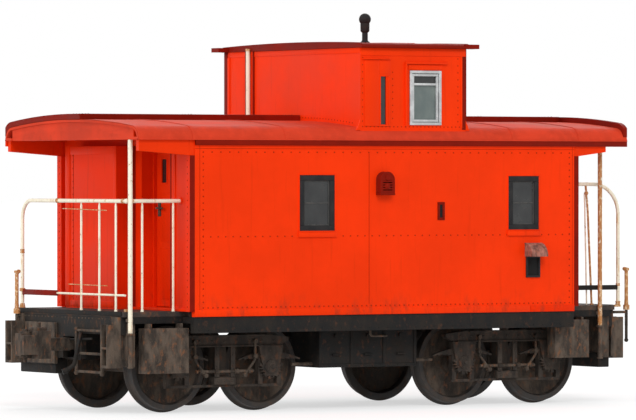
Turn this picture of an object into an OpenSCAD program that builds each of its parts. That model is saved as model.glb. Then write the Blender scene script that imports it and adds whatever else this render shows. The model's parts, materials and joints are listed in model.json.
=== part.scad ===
// Short four-axle caboose: a steel cabin with a cupola, open end platforms, and two
// swivelling trucks. X runs along the car, Z is up, and the origin is on the floor under
// the middle of the car. Sizes are in millimetres.

/* [Body] */
// Length of the cabin between its end walls
body_l = 4870; // [4000:10:6500]
// Width of the cabin over its side sheets
body_w = 2900; // [2750:10:3150]
// Height of the side sheets' lower edge above the floor
side_z = 1040; // [1030:5:1150]
// Height of the side sheets
side_h = 1880; // [1750:10:2200]
// Thickness of a cabin wall, sheet and lining together
wall_t = 60; // [40:1:90]

/* [Roof] */
// How far the roof reaches past an end wall
roof_over = 700; // [650:10:1000]
// How far an eave stands out past the side sheets
eave_over = 20; // [10:1:60]
// Rise of the roof from eave to ridge
roof_rise = 225; // [210:5:320]
// Radius of the roof's rounded shoulder
shoulder_r = 150; // [110:5:180]
// Thickness of the roof sheet with its carlines
roof_t = 30; // [20:1:45]
// Height of the roof walk and of the curved lips at the roof's ends
walk_h = 60; // [50:1:90]
// Width of the roof walk
walk_w = 400; // [300:10:500]

/* [Cupola] */
// Middle of the cupola along the car
cupola_x = 330; // [-200:10:500]
// Length of the cupola
cupola_l = 1360; // [1300:10:1700]
// Width of the cupola over its walls
cupola_w = 2860; // [2600:10:2880]
// Height of the cupola's walls above the eaves of the main roof
cupola_h = 1005; // [950:5:1200]
// How far the cupola's roof reaches past its end walls
cupola_over = 20; // [10:1:60]
// Rise of the cupola's roof from eave to ridge
cupola_rise = 75; // [65:1:100]

/* [Platforms] */
// Length of an end platform past the end wall
deck_over = 720; // [680:10:900]
// Width of an end platform
deck_w = 2400; // [2300:10:2600]
// Thickness of the floor and of the platforms
deck_t = 55; // [40:1:80]
// Height of the platform railing above the deck
rail_h = 1175; // [1000:5:1300]
// Radius of a railing pipe
rail_r = 20; // [15:1:26]
// Radius of a baluster
baluster_r = 12; // [8:1:15]

/* [Running gear] */
// Radius of a wheel's tread
tread_r = 457; // [420:1:470]
// Height of a wheel's flange
flange_h = 26; // [22:1:30]
// Distance between the backs of an axle's two wheels
wheel_back = 1360; // [1340:1:1400]
// Width of a wheel's rim with its flange
rim_w = 140; // [125:1:145]
// Distance between the axles of a truck
wheelbase = 1150; // [1120:5:1250]
// Distance from the middle of the car to a truck's pivot
truck_x = 1820; // [1500:10:2300]
// Distance from the car's centre line to the middle of a truck side frame
frame_y = 985; // [970:5:1000]
// Radius of an axle journal
journal_r = 60; // [50:1:70]
// Height of the couplers' centre line
coupler_z = 730; // [680:5:760]

/* [Hidden] */
$fn = 64;

// Clearances between pieces that move past each other.
clear = 5;
bore_gap = 2;

// Cabin.
body_x = body_l / 2;
half_w = body_w / 2;
in_w = half_w - wall_t;
eave_z = side_z + side_h;
floor_z = side_z + deck_t;
deck_x = body_x + deck_over;

// Roof: a flat crown and two rounded shoulders, tangent to each other.
roof_x = body_x + roof_over;
roof_w = half_w + eave_over;
eave_flange = 130;
fascia_h = 60;
fascia_t = 25;
front_beam_l = 680;
rear_beam_l = 430;
beam_tip = 118;
beam_root = 165;
beam_w = 60;
board_in = 60;
board_t = 40;
lip_t = 50;
SHOULDER_STEPS = 10;
CROWN_STEPS = 20;
board_gap = 15;

// Cupola.
cupola_t = 50;
cupola_z = eave_z + cupola_h;
cupola_shoulder = 50;
cupola_eave_y = cupola_w / 2 + 50;
horn_l = 150;
horn_w = 160;
horn_h = 55;

// Windows of a side wall: middle along X, sill height, width, height.
SIDE_WINDOWS = [[-910, 1945, 440, 600], [1760, 1945, 400, 590]];
// Windows of a cupola side: middle from the cupola's middle, sill above the eave, width, height.
CUPOLA_WINDOWS = [[-385, 174, 70, 520], [153, 168, 410, 595]];
WINDOW_X = 0;
WINDOW_Z = 1;
WINDOW_W = 2;
WINDOW_H = 3;
sash_w = 45;
// Height of the wide cupola window's bar, as a share of the window's height.
wide_bar = 0.75;
sash_t = 40;
glass_t = 8;

// Doors: each stands in an alcove between the near wall panel and the locker.
door_w = 640;
door_h = 1740;
door_t = 45;
hinge_r = 9;
hinge_l = 110;
// Heights of the hinges above the door's lower edge.
HINGES = [150, 800, 1450];
alcove_y0 = -960;
alcove_d = 180;
post_w = 60;
sill_h = 30;
DOOR_LIGHTS = [90, 400];
light_w = 110;
light_h = 260;
light_z = 1330;

// Lockers on the end walls.
locker_y0 = -130;
locker_d = 200;
locker_gap = 355;

// Underframe.
sill_z = 866;
sill_w = 90;
spine_w = 320;
draft_z = 560;
end_beam_t = 60;
end_beam_z = 850;
bearer_w = 110;
bearer_h = 70;
deck_sill_w = 70;
pocket_l = 260;
pocket_t = 25;
pivot_r = 32;
plate_r = 170;

// Running gear.
flange_r = tread_r + flange_h;
axle_z = flange_r;
axle_r = 75;
hub_r = 125;
wheel_in = wheel_back / 2;
axle_end = frame_y + 62;
bolster_w = 150;
bolster_top = 800;
bolster_h = 190;
plate_z = 840;
frame_t = 90;
frame_top = 800;
frame_h = 95;
frame_l = wheelbase + 460;
jaw_w = 55;
box_l = 170;
box_h = 200;
leaf_t = 16;
leaf_w = 60;
leaf_r = 950;
// Half-angles of the leaves about the spring's centre, lowest leaf first.
LEAVES = [8, 11.5, 15, 18.5, 22];
spring_z = axle_z + 80;
shoe_t = 42;

// Couplers.
coupler_pivot = deck_x - 190;
coupler_pin_r = 30;
knuckle_pin_r = 21;
shank_w = 130;
striker_w = 250;
shank_h = 120;
head_x = 300;
head_l = 330;

function arc(cy, cz, r, a0, a1, n) =
    [for (i = [0 : n]) let (a = a0 + (a1 - a0) * i / n) [cy + r * cos(a), cz + r * sin(a)]];

// Half-outline of a three-centred roof whose shell is set in by t, from the eave to the ridge.
function crown_r(w, rise, r) = (pow(w - r, 2) + rise * rise - r * r) / (2 * (rise - r));
function crown_under(y, w, rise, r, t) = let (big = crown_r(w, rise, r))
    rise - big + sqrt(pow(big - t, 2) - y * y);
function half_roof(w, rise, r, t) =
    let (big = crown_r(w, rise, r), a = atan2(big - rise, w - r))
    concat(arc(w - r, 0, r - t, 0, a, SHOULDER_STEPS),
        arc(0, rise - big, big - t, a, 90, CROWN_STEPS));
function roof_outline(w, rise, r, t) = let (right = half_roof(w, rise, r, t))
    concat(right, [for (i = [len(right) - 2 : -1 : 0]) [-right[i][0], right[i][1]]]);

// Outline of a stack of arched leaves, about the centre that they share.
function polar(r, a) = [r * sin(a), r * cos(a)];
function leaf_end(i, side) = [polar(leaf_r + (i + 1) * leaf_t, side * LEAVES[i]),
    polar(leaf_r + i * leaf_t, side * LEAVES[i])];
function spring_outline() = let (last = len(LEAVES) - 1, top_r = leaf_r + len(LEAVES) * leaf_t)
    concat([for (a = [2 - LEAVES[last] : 2 : LEAVES[last] - 2]) polar(top_r, a)],
        [for (i = [last : -1 : 0]) each leaf_end(i, 1)],
        [for (a = [4 : -4 : -4]) polar(leaf_r, a)],
        [for (i = [0 : last]) let (e = leaf_end(i, -1)) each [e[1], e[0]]]);

// A box between two corners.
module block(x0, x1, y0, y1, z0, z1) {
    translate([x0, y0, z0]) cube([x1 - x0, y1 - y0, z1 - z0]);
}

// A round bar between two points.
module bar(a, b, r) {
    v = b - a;
    l = norm(v);
    translate(a) rotate([0, acos(v[2] / l), atan2(v[1], v[0])]) cylinder(r = r, h = l);
}

// A round bar through a list of points, with a ball fitting at each inner point.
module bent_bar(points, r, ball) {
    for (i = [0 : len(points) - 2]) bar(points[i], points[i + 1], r);
    for (i = [1 : len(points) - 2]) translate(points[i]) sphere(r = ball);
}

// A section drawn as (Y, Z), run along X from x0 to x1.
module along_x(x0, x1) {
    translate([x0, 0, 0]) rotate([90, 0, 90]) linear_extrude(x1 - x0) children();
}

// A section drawn as (X, Z), run along Y from y0 to y1.
module along_y(y0, y1) {
    translate([0, y1, 0]) rotate([90, 0, 0]) linear_extrude(y1 - y0) children();
}

module both_ends() {
    children();
    mirror([1, 0, 0]) children();
}

module both_sides() {
    children();
    mirror([0, 1, 0]) children();
}

// Turns a piece of the front end, at -X, half round to the rear end.
module to_rear() {
    rotate(180) children();
}

// ---- Underframe ----

module sills() {
    color("#23211f") {
        both_sides() block(-body_x, body_x, half_w - sill_w, half_w - 6, sill_z, side_z);
        block(-deck_x + end_beam_t, deck_x - end_beam_t, -spine_w / 2, spine_w / 2, sill_z, side_z);
    }
}

// Cross bearers and body bolsters, each in two halves between the spine and a side sill.
module crossmembers() {
    color("#262422") both_sides() {
        for (x = [-body_x + bearer_w / 2, 0, body_x - bearer_w / 2])
            block(x - bearer_w / 2, x + bearer_w / 2, spine_w / 2, half_w - sill_w,
                side_z - bearer_h, side_z);
        for (x = [-truck_x, truck_x]) block(x - bolster_w / 2, x + bolster_w / 2, spine_w / 2,
            half_w - sill_w, sill_z + 20, side_z);
        both_ends() block(body_x, deck_x - end_beam_t, deck_w / 2 - deck_sill_w, deck_w / 2,
            side_z - bearer_h, side_z);
    }
}

// Truck centre plates with their pins, and the pockets that hold the couplers' pins.
module draft_pockets() {
    pocket_x = deck_x - end_beam_t - pocket_l;
    color("#1f1d1c") {
        for (x = [-truck_x, truck_x]) {
            translate([x, 0, plate_z]) cylinder(r = plate_r - 20, h = sill_z - plate_z);
            translate([x, 0, bolster_top - 120]) cylinder(r = pivot_r, h = sill_z - bolster_top + 120);
        }
        both_ends() {
            both_sides() block(pocket_x, deck_x - end_beam_t, spine_w / 2 - pocket_t, spine_w / 2,
                draft_z, sill_z);
            block(pocket_x, deck_x - end_beam_t, -spine_w / 2 + pocket_t, spine_w / 2 - pocket_t,
                draft_z, draft_z + pocket_t);
            translate([coupler_pivot, 0, draft_z + 1])
                cylinder(r = coupler_pin_r, h = sill_z - draft_z - 1);
        }
    }
}

module floor_deck() {
    color("#3a2c26") {
        block(-body_x + wall_t, body_x - wall_t, -in_w, in_w, side_z, floor_z);
        both_ends() block(body_x - wall_t, deck_x, -deck_w / 2, deck_w / 2, side_z, floor_z);
    }
}

module end_beams() {
    color("#1f1d1c") both_ends() difference() {
        block(deck_x - end_beam_t, deck_x, -deck_w / 2 + 50, deck_w / 2 - 50, draft_z + 20, side_z);
        block(deck_x - end_beam_t - 1, deck_x + 1, -striker_w / 2, striker_w / 2,
            draft_z - 1, coupler_z + shank_h / 2 + 20);
        both_sides() block(deck_x - end_beam_t - 1, deck_x + 1, spine_w / 2 + 120, deck_w / 2,
            draft_z, end_beam_z);
    }
}

// ---- Cabin walls ----

module window_hole(w, y0, y1) {
    block(w[WINDOW_X] - w[WINDOW_W] / 2, w[WINDOW_X] + w[WINDOW_W] / 2, y0, y1,
        w[WINDOW_Z], w[WINDOW_Z] + w[WINDOW_H]);
}

module side_wall() {
    color("#f04018") difference() {
        block(-body_x, body_x, -half_w, -in_w, side_z, eave_z);
        for (w = SIDE_WINDOWS) window_hole(w, -half_w - 1, -in_w + 1);
    }
}

// The front end wall: it closes the roof's arch, and its doorway opens at the alcove's back.
module end_wall() {
    inner_x = -body_x + wall_t;
    door_x = -body_x + alcove_d;
    arch_w = min(in_w, roof_w - eave_flange);
    color("#cf3414") {
        difference() {
            union() {
                along_x(-body_x, inner_x) intersection() {
                    translate([0, eave_z])
                        polygon(roof_outline(roof_w, roof_rise, shoulder_r, roof_t));
                    translate([-arch_w, eave_z]) square([2 * arch_w, roof_rise]);
                }
                block(-body_x, inner_x, -in_w, in_w, floor_z, eave_z);
                block(-body_x, door_x + post_w, alcove_y0 - post_w, alcove_y0 + door_w + post_w,
                    floor_z, floor_z + sill_h + door_h + post_w);
            }
            block(-body_x - 1, door_x + post_w + 1, alcove_y0, alcove_y0 + door_w,
                floor_z + sill_h, floor_z + sill_h + door_h);
            // Hollow that the door's hinge barrels turn in.
            translate([door_x + door_t, alcove_y0 + clear, floor_z + sill_h])
                cylinder(r = hinge_r + bore_gap, h = door_h);
        }
        // Stop that the door shuts against.
        difference() {
            block(door_x - 40, door_x - 2, alcove_y0 - 1, alcove_y0 + door_w + 1,
                floor_z + sill_h - 1, floor_z + sill_h + door_h + 1);
            block(door_x - 41, door_x, alcove_y0 + 20, alcove_y0 + door_w - 20,
                floor_z + sill_h - 2, floor_z + sill_h + door_h - 20);
        }
        for (s = [-1, 1]) block(-body_x - post_w, -body_x, min(s * half_w, s * (half_w - 95)),
            max(s * half_w, s * (half_w - 95)), floor_z, eave_z - beam_root);
    }
}

module lockers() {
    color("#d9421c") both_ends() difference() {
        block(-body_x - locker_d, -body_x, locker_y0, half_w - 95 - locker_gap, floor_z,
            eave_z - 60);
        block(-body_x - locker_d + 25, -body_x - 25, locker_y0 + 25,
            half_w - 95 - locker_gap - 25, floor_z + 25, eave_z - 85);
    }
}

// A door in its front-end place, hinged on its near edge.
module door() {
    x = -body_x + alcove_d;
    y = alcove_y0 + clear;
    w = door_w - 2 * clear - 4;
    z = floor_z + sill_h + clear;
    color("#b52f12") {
        difference() {
            block(x, x + door_t, y, y + w, z, z + door_h - 2 * clear);
            for (l = DOOR_LIGHTS) block(x - 1, x + door_t + 1, y + l, y + l + light_w,
                z + light_z, z + light_z + light_h);
        }
        for (h = HINGES) translate([x + door_t, y, z + h]) cylinder(r = hinge_r, h = hinge_l);
        translate([x - 55, y + w - 70, z + 1060]) rotate([0, 90, 0]) cylinder(r = 12, h = 60);
        bar([x - 50, y + w - 70, z + 1060], [x - 50, y + w - 200, z + 1060], 10);
    }
}

// ---- Roof ----

module roof_section(w, rise, r, t) {
    difference() {
        polygon(roof_outline(w, rise, r, 0));
        difference() {
            polygon(concat([[-w + t, -1], [w - t, -1]], roof_outline(w, rise, r, t)));
            for (s = [-1, 1]) translate([s > 0 ? w - eave_flange : -w, -1])
                square([eave_flange, t + 1]);
        }
        translate([-w - 1, -2]) square([2 * w + 2, 2]);
    }
}

module main_roof() {
    color("#c9432c") difference() {
        translate([0, 0, eave_z]) along_x(-roof_x, roof_x)
            roof_section(roof_w, roof_rise, shoulder_r, roof_t);
        block(cupola_x - cupola_l / 2 + cupola_t, cupola_x + cupola_l / 2 - cupola_t,
            -cupola_w / 2 + cupola_t, cupola_w / 2 - cupola_t, eave_z + roof_t,
            eave_z + roof_rise + 1);
    }
}

module platform_beam(l) {
    along_y(half_w - 5 - beam_w, half_w - 5)
        polygon([[body_x + post_w, eave_z - beam_root], [body_x + post_w, eave_z],
            [body_x + l, eave_z], [body_x + l, eave_z - beam_tip]]);
}

module eaves() {
    color("#a82a12") {
        // Fascia strip of each eave, over the cabin and one platform.
        for (turn = [0, 180]) rotate(turn)
            block(-body_x, roof_x, -roof_w, -roof_w + fascia_t - 5, eave_z - fascia_h, eave_z);
        // Tapered beams over the platforms, inside the fascia.
        both_sides() platform_beam(rear_beam_l);
        mirror([1, 0, 0]) both_sides() platform_beam(front_beam_l);
        // Boards that close the arch at the roof's ends.
        both_ends() along_x(roof_x - board_in, roof_x - board_in + board_t) intersection() {
            translate([0, eave_z]) polygon(roof_outline(roof_w, roof_rise, shoulder_r, roof_t));
            translate([-roof_w + eave_flange, eave_z])
                square([2 * (roof_w - eave_flange), roof_rise]);
        }
    }
}

// The space below the main roof's outer face, or below its inner face where t is its thickness.
module under_roof(x0, x1, t = 0) {
    translate([0, 0, eave_z]) along_x(x0, x1) polygon(concat([[-roof_w, -eave_z], [roof_w, -eave_z]],
        roof_outline(roof_w, roof_rise, shoulder_r, t)));
}

module roof_walk() {
    ridge = eave_z + roof_rise;
    gap = 25;
    runner = 35;
    board = (walk_w - 2 * board_gap) / 3;
    color("#8c2416") both_ends_of_walk() {
        for (s = [0 : 2]) let (y = -walk_w / 2 + s * (board + board_gap))
            block($x0, $x1, y, y + board, ridge + gap, ridge + walk_h);
        // Bearers, and a runner under each edge.
        difference() {
            union() {
                for (x = [$x0 + 60, ($x0 + $x1) / 2 - 20, $x1 - 100])
                    block(x, x + 40, -walk_w / 2, walk_w / 2, eave_z + shoulder_r, ridge + gap + 5);
                both_sides() block($x0, $x1, walk_w / 2 - runner, walk_w / 2, eave_z + shoulder_r,
                    ridge + gap + 5);
            }
            under_roof($x0, $x1);
        }
    }
}

// The roof walk's two stretches, from the cupola to each end of the roof.
module both_ends_of_walk() {
    for (run = [[-roof_x + lip_t, cupola_x - cupola_l / 2 - 10],
            [cupola_x + cupola_l / 2 + 10, roof_x - lip_t]])
        let ($x0 = run[0], $x1 = run[1]) children();
}

// A curved lip along half of the roof's end, at two opposite corners.
module end_lips() {
    color("#8c2416") for (turn = [0, 180]) rotate(turn)
        translate([0, 0, eave_z]) along_x(roof_x - lip_t, roof_x) intersection() {
            difference() {
                polygon(roof_outline(roof_w + walk_h, roof_rise + walk_h, shoulder_r + walk_h, 0));
                polygon(concat([[-roof_w, -2], [roof_w, -2]],
                    roof_outline(roof_w, roof_rise, shoulder_r, 0)));
            }
            translate([-roof_w, shoulder_r / 3]) square([roof_w + walk_w / 2, roof_rise + walk_h]);
        }
}

// ---- Cupola ----

module cupola_walls() {
    color("#ee3f18") difference() {
        block(cupola_x - cupola_l / 2, cupola_x + cupola_l / 2, -cupola_w / 2, cupola_w / 2,
            eave_z + roof_t, cupola_z);
        block(cupola_x - cupola_l / 2 + cupola_t, cupola_x + cupola_l / 2 - cupola_t,
            -cupola_w / 2 + cupola_t, cupola_w / 2 - cupola_t, eave_z, cupola_z + 1);
        // The walls stand on the main roof.
        under_roof(cupola_x - cupola_l, cupola_x + cupola_l);
        translate([cupola_x, 0, eave_z]) for (w = CUPOLA_WINDOWS)
            window_hole(w, -cupola_w / 2 - 1, cupola_w / 2 + 1);
    }
}

// The cupola's solid roof, with a horn that stands out at two opposite corners.
module cupola_roof() {
    x = cupola_l / 2 + cupola_over;
    color("#b83522") translate([cupola_x, 0, cupola_z]) {
        along_x(-x, x) polygon(roof_outline(cupola_eave_y, cupola_rise, cupola_shoulder, 0));
        for (turn = [0, 180]) rotate(turn)
            block(x - horn_h, cupola_l / 2 + horn_l, -cupola_eave_y + 3, -cupola_eave_y + horn_w,
                0, horn_h - 7);
    }
}

// A sash that fills a window: a frame with one bar across, or its panes.
module sash(w, y, bar_z) {
    difference() {
        window_hole(w, y, y + sash_t);
        block(w[WINDOW_X] - w[WINDOW_W] / 2 + sash_w, w[WINDOW_X] + w[WINDOW_W] / 2 - sash_w,
            y - 1, y + sash_t + 1, w[WINDOW_Z] + sash_w, w[WINDOW_Z] + bar_z - 12);
        block(w[WINDOW_X] - w[WINDOW_W] / 2 + sash_w, w[WINDOW_X] + w[WINDOW_W] / 2 - sash_w,
            y - 1, y + sash_t + 1, w[WINDOW_Z] + bar_z + 12, w[WINDOW_Z] + w[WINDOW_H] - sash_w);
    }
}

module panes(w, y, bar_z) {
    for (z = [[sash_w, bar_z - 12], [bar_z + 12, w[WINDOW_H] - sash_w]])
        block(w[WINDOW_X] - w[WINDOW_W] / 2 + sash_w, w[WINDOW_X] + w[WINDOW_W] / 2 - sash_w,
            y, y + glass_t, w[WINDOW_Z] + z[0], w[WINDOW_Z] + z[1]);
}

module side_windows() {
    color("#1a1c1d") both_sides() for (w = SIDE_WINDOWS)
        sash(w, -half_w + 8, w[WINDOW_H] / 2);
}

module cupola_windows() {
    w = CUPOLA_WINDOWS[1];
    color("#b9bcbc") both_sides() translate([cupola_x, 0, eave_z])
        sash(w, -cupola_w / 2 + 3, w[WINDOW_H] * wide_bar);
}

module window_glass() {
    wide = CUPOLA_WINDOWS[1];
    slit = CUPOLA_WINDOWS[0];
    color("#2b3033") both_sides() {
        for (w = SIDE_WINDOWS) panes(w, -half_w + 8 + sash_t / 2, w[WINDOW_H] / 2);
        translate([cupola_x, 0, eave_z]) {
            panes(wide, -cupola_w / 2 + 3 + sash_t / 2, wide[WINDOW_H] * wide_bar);
            window_hole(slit, -cupola_w / 2 + 15, -cupola_w / 2 + 15 + glass_t);
        }
    }
}

// ---- Fittings of the cabin ----

jack_y = -445;
module smoke_jack() {
    base = cupola_z + crown_under(jack_y, cupola_eave_y, cupola_rise, cupola_shoulder, 0);
    color("#151515") difference() {
        translate([cupola_x, jack_y, base - 25]) {
            cylinder(r1 = 70, r2 = 42, h = 45);
            cylinder(r = 32, h = 200);
            translate([0, 0, 155]) cylinder(r = 50, h = 95);
            translate([0, 0, 290]) sphere(r = 66);
        }
        translate([0, 0, cupola_z]) along_x(cupola_x - 100, cupola_x + 100)
            polygon(roof_outline(cupola_eave_y, cupola_rise, cupola_shoulder, 0));
    }
}

lamp_x = -70;
lamp_z = 2340;
module marker_lamps() {
    color("#8f1f12") both_sides() translate([lamp_x, -half_w, lamp_z]) {
        difference() {
            union() {
                block(-85, 85, -95, 0, 0, 150);
                translate([0, -95, 150]) rotate([-90, 0, 0]) cylinder(r = 85, h = 95);
            }
            block(-60, 60, -96, -30, 25, 150);
        }
        translate([0, -70, 85]) sphere(r = 42);
    }
}

vent_x = 1880;
vent_z = 1420;
module vent_hoods() {
    color("#7d5a4e") both_sides() translate([vent_x, -half_w, vent_z]) {
        difference() {
            along_x(-105, 105) intersection() {
                translate([0, 230]) circle(r = 150);
                translate([-150, 230]) square([150, 150]);
            }
            along_x(-93, 93) intersection() {
                translate([0, 230]) circle(r = 138);
                translate([-139, 229]) square([140, 150]);
            }
        }
        difference() {
            block(-90, 90, -18, 0, 0, 230);
            block(-68, 68, -19, -8, 22, 208);
        }
    }
}

// ---- Platforms ----

post_x = deck_x - 60;
post_y = deck_w / 2 - 50;
rail_z = floor_z + rail_h;
bend_r = 200;
// Balusters of the front railing: distance from the end wall, or Y along the platform's end.
SIDE_BALUSTERS = [90, 470];
END_BALUSTERS = [-920, -565, -170];

module railing_front() {
    y0 = -post_y;
    color("#e6ddc4") {
        translate([-body_x - 8, y0, rail_z]) rotate([0, 90, 0]) cylinder(r = 42, h = 8);
        bent_bar([[-body_x, y0, rail_z], [-post_x, y0, rail_z], [-post_x, post_y - bend_r, rail_z]],
            rail_r, rail_r * 1.3);
        translate([-post_x, post_y - bend_r, rail_z - bend_r]) rotate([90, 0, 90])
            rotate_extrude(angle = 90) translate([bend_r, 0]) circle(r = rail_r);
        bar([-post_x, post_y, floor_z], [-post_x, post_y, rail_z - bend_r], rail_r);
        bar([-post_x, y0 + 30, floor_z + 175], [-post_x, post_y, floor_z + 175], baluster_r);
        for (x = SIDE_BALUSTERS) bar([-body_x - x, y0, floor_z], [-body_x - x, y0, rail_z],
            baluster_r);
        for (y = END_BALUSTERS) bar([-post_x, y, floor_z], [-post_x, y, rail_z], baluster_r);
    }
}

hoop_h = 1350;
hoop_x = deck_x + 120;
hoop_r = 330;
hoop_y = post_y - 60;
// A hoop rail from x0, with a slanted rod and a flat lower rail.
module hoop_rail(x0, rod_x) {
    z = floor_z + hoop_h;
    translate([x0, -hoop_y, z]) rotate([0, 90, 0]) cylinder(r = 42, h = 8);
    bar([x0, -hoop_y, z], [hoop_x - hoop_r, -hoop_y, z], rail_r);
    translate([hoop_x - hoop_r, -hoop_y, z - hoop_r]) rotate([90, 0, 0])
        rotate_extrude(angle = 90) translate([hoop_r, 0]) circle(r = rail_r);
    bar([hoop_x, -hoop_y, floor_z], [hoop_x, -hoop_y, z - hoop_r], rail_r);
    bar([rod_x, -hoop_y, z], [rod_x + 110, -hoop_y + 40, floor_z + 6], baluster_r);
    translate([rod_x + 110, -hoop_y + 40, floor_z]) cylinder(r = 22, h = 14);
    block(x0, hoop_x, -hoop_y - 15, -hoop_y - 2, floor_z + 165, floor_z + 225);
    // Bracket under the hoop's foot.
    block(deck_x, hoop_x + 25, -hoop_y - 28, -hoop_y + 28, floor_z - 24, floor_z);
}

module railing_rear() {
    color("#e2d8bd") {
        hoop_rail(body_x, body_x + 150);
        mirror([0, 1, 0]) hoop_rail(body_x + locker_d, body_x + locker_d + 60);
    }
}

// Poles from under the deck to the roof: end (-1 front, 1 rear), distance from the end wall, side.
POLES = [[-1, 660, -1], [1, 500, -1], [1, 660, 1]];
pole_r = 26;
pole_y = deck_w / 2 + pole_r + 2;
pole_z = 500;
// A pole ends under the arch board where it meets one, and otherwise against the roof.
function pole_top(out) = abs(out - (roof_over - board_in + board_t / 2)) < board_t / 2 + pole_r
    ? eave_z : eave_z + roof_rise;
module platform_poles() {
    color("#e9e2cc") for (p = POLES) let (x = p[0] * (body_x + p[1])) {
        intersection() {
            translate([x, p[2] * pole_y, pole_z]) cylinder(r = pole_r, h = pole_top(p[1]) - pole_z);
            under_roof(x - 60, x + 60, roof_t);
        }
        translate([x, p[2] * pole_y, end_beam_z]) cylinder(r = 46, h = 22);
        // Clip that holds the pole to the platform's side sill.
        block(x - 40, x + 40, min(p[2] * pole_y, p[2] * deck_w / 2), max(p[2] * pole_y, p[2] * deck_w / 2),
            side_z - 50, side_z - 15);
    }
}

// Brake levers, each on a threaded stem beside its step bracket.
module brake_levers() {
    y = post_y - 110;
    // Turn, reach past the platform, and depth of the stem.
    color("#c9bda0") for (l = [[0, 70, 250], [180, 270, 400]]) rotate(l[0]) {
        x = -deck_x - l[1];
        bar([-deck_x - 30, y, floor_z - 85], [x, y, floor_z - 85], 16);
        bar([x, y, floor_z - l[2]], [x, y, floor_z - 20], 17);
        translate([x, y, floor_z - 60]) cylinder(r = 34, h = 60);
        block(x - 22, x + 22, y - 14, y + 14, floor_z - 5, floor_z + 410);
        bar([x, y - 30, floor_z + 400], [x, y + 30, floor_z + 400], 20);
    }
}

// Rusty step brackets at the corners of the end beams: Y range, reach, Z range.
module corner_steps() {
    color("#5b4536") both_ends() both_sides() {
        block(deck_x, deck_x + 30, post_y - 170, post_y - 20, end_beam_z + 10, side_z);
        for (y = [post_y - 170, post_y - 45]) block(deck_x, deck_x + 165, y, y + 25, 500, 960);
        block(deck_x + 10, deck_x + 165, post_y - 170, post_y - 20, 500, 530);
        block(deck_x + 10, deck_x + 165, post_y - 170, post_y - 20, 700, 724);
    }
}

ladder_w = 560;
ladder_y = -790;
module end_ladders() {
    color("#4c3c31") both_ends() {
        for (y = [ladder_y, ladder_y + ladder_w])
            bar([deck_x + 35, y, 430], [deck_x + 35, y, 900], 17);
        for (z = [445, 640, 885])
            bar([deck_x + 35, ladder_y, z], [deck_x + 35, ladder_y + ladder_w, z], 14);
        for (y = [ladder_y, ladder_y + ladder_w]) bar([deck_x, y, 885], [deck_x + 35, y, 885], 14);
        // Box behind the ladder, hung from the end beam.
        block(deck_x - 150, deck_x - end_beam_t, ladder_y - 380, ladder_y + 150, 510,
            side_z - bearer_h);
    }
}

// Boxes beside the trucks: X range, Z range.
STEP_BOXES = [[-2950, -2420, 440, 920], [2280, 2740, 520, 940]];
step_box_y = 1150;
module step_boxes() {
    color("#6a5140") for (s = [-1, 1]) for (b = STEP_BOXES) {
        y0 = s > 0 ? step_box_y : -step_box_y - 150;
        difference() {
            block(b[0], b[1], y0, y0 + 150, b[2], b[3]);
            block(b[0] + 12, b[1] - 12, y0 + 12, y0 + 138, b[2] + 12, b[3] - 12);
        }
        for (x = [b[0] + 60, b[1] - 90]) block(x, x + 30, y0 + 20, y0 + 130, b[3],
            side_z - bearer_h);
    }
}

module battery_box() {
    color("#1d1b19") {
        difference() {
            block(-690, 560, -1130, -560, 460, sill_z + 30);
            block(-660, 530, -1100, -590, 490, sill_z);
        }
        // Hangers from the middle cross bearer.
        for (y = [-1080, -640]) block(-25, 25, y, y + 30, sill_z + 30, side_z - bearer_h);
    }
}

module brake_gear() {
    color("#332b26") {
        // Air reservoir on the far side.
        translate([-500, 850, 700]) rotate([0, 90, 0]) cylinder(r = 170, h = 1000);
        for (x = [-300, 260]) block(x, x + 50, 800, 900, 860, side_z);
        // Train line along the near sill, with its hangers.
        bar([-1050, -1270, 930], [1150, -1270, 930], 22);
        for (x = [-1000, 90, 1100]) block(x - 15, x + 15, -1285, -1255, 930, side_z);
    }
}

// ---- Couplers ----

// A front coupler: shank, head and knuckle, hinged in the draft pocket.
module coupler() {
    x = -coupler_pivot;
    tip = -deck_x - head_x - head_l;
    color("#4a3a30") difference() {
        union() {
            translate([x, 0, coupler_z - shank_h / 2]) cylinder(r = shank_w / 2, h = shank_h);
            block(-deck_x - head_x - 20, x, -shank_w / 2, shank_w / 2, coupler_z - shank_h / 2,
                coupler_z + shank_h / 2);
            block(-deck_x - head_x - 160, -deck_x - head_x, -150, 110, coupler_z - 150,
                coupler_z + 150);
            block(tip, -deck_x - head_x - 150, -150, -70, coupler_z - 105, coupler_z + 105);
            translate([tip + 120, 45, coupler_z - 140]) cylinder(r = 62, h = 280);
            block(tip + 30, tip + 120, -25, 107, coupler_z - 120, coupler_z + 120);
            block(tip + 100, -deck_x - head_x - 150, 0, 108, coupler_z - 120, coupler_z + 120);
        }
        translate([x, 0, coupler_z - shank_h]) cylinder(r = coupler_pin_r + bore_gap,
            h = 2 * shank_h);
        translate([tip + 120, 45, coupler_z - 150]) cylinder(r = knuckle_pin_r, h = 300);
    }
}

// ---- Trucks ----

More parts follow.
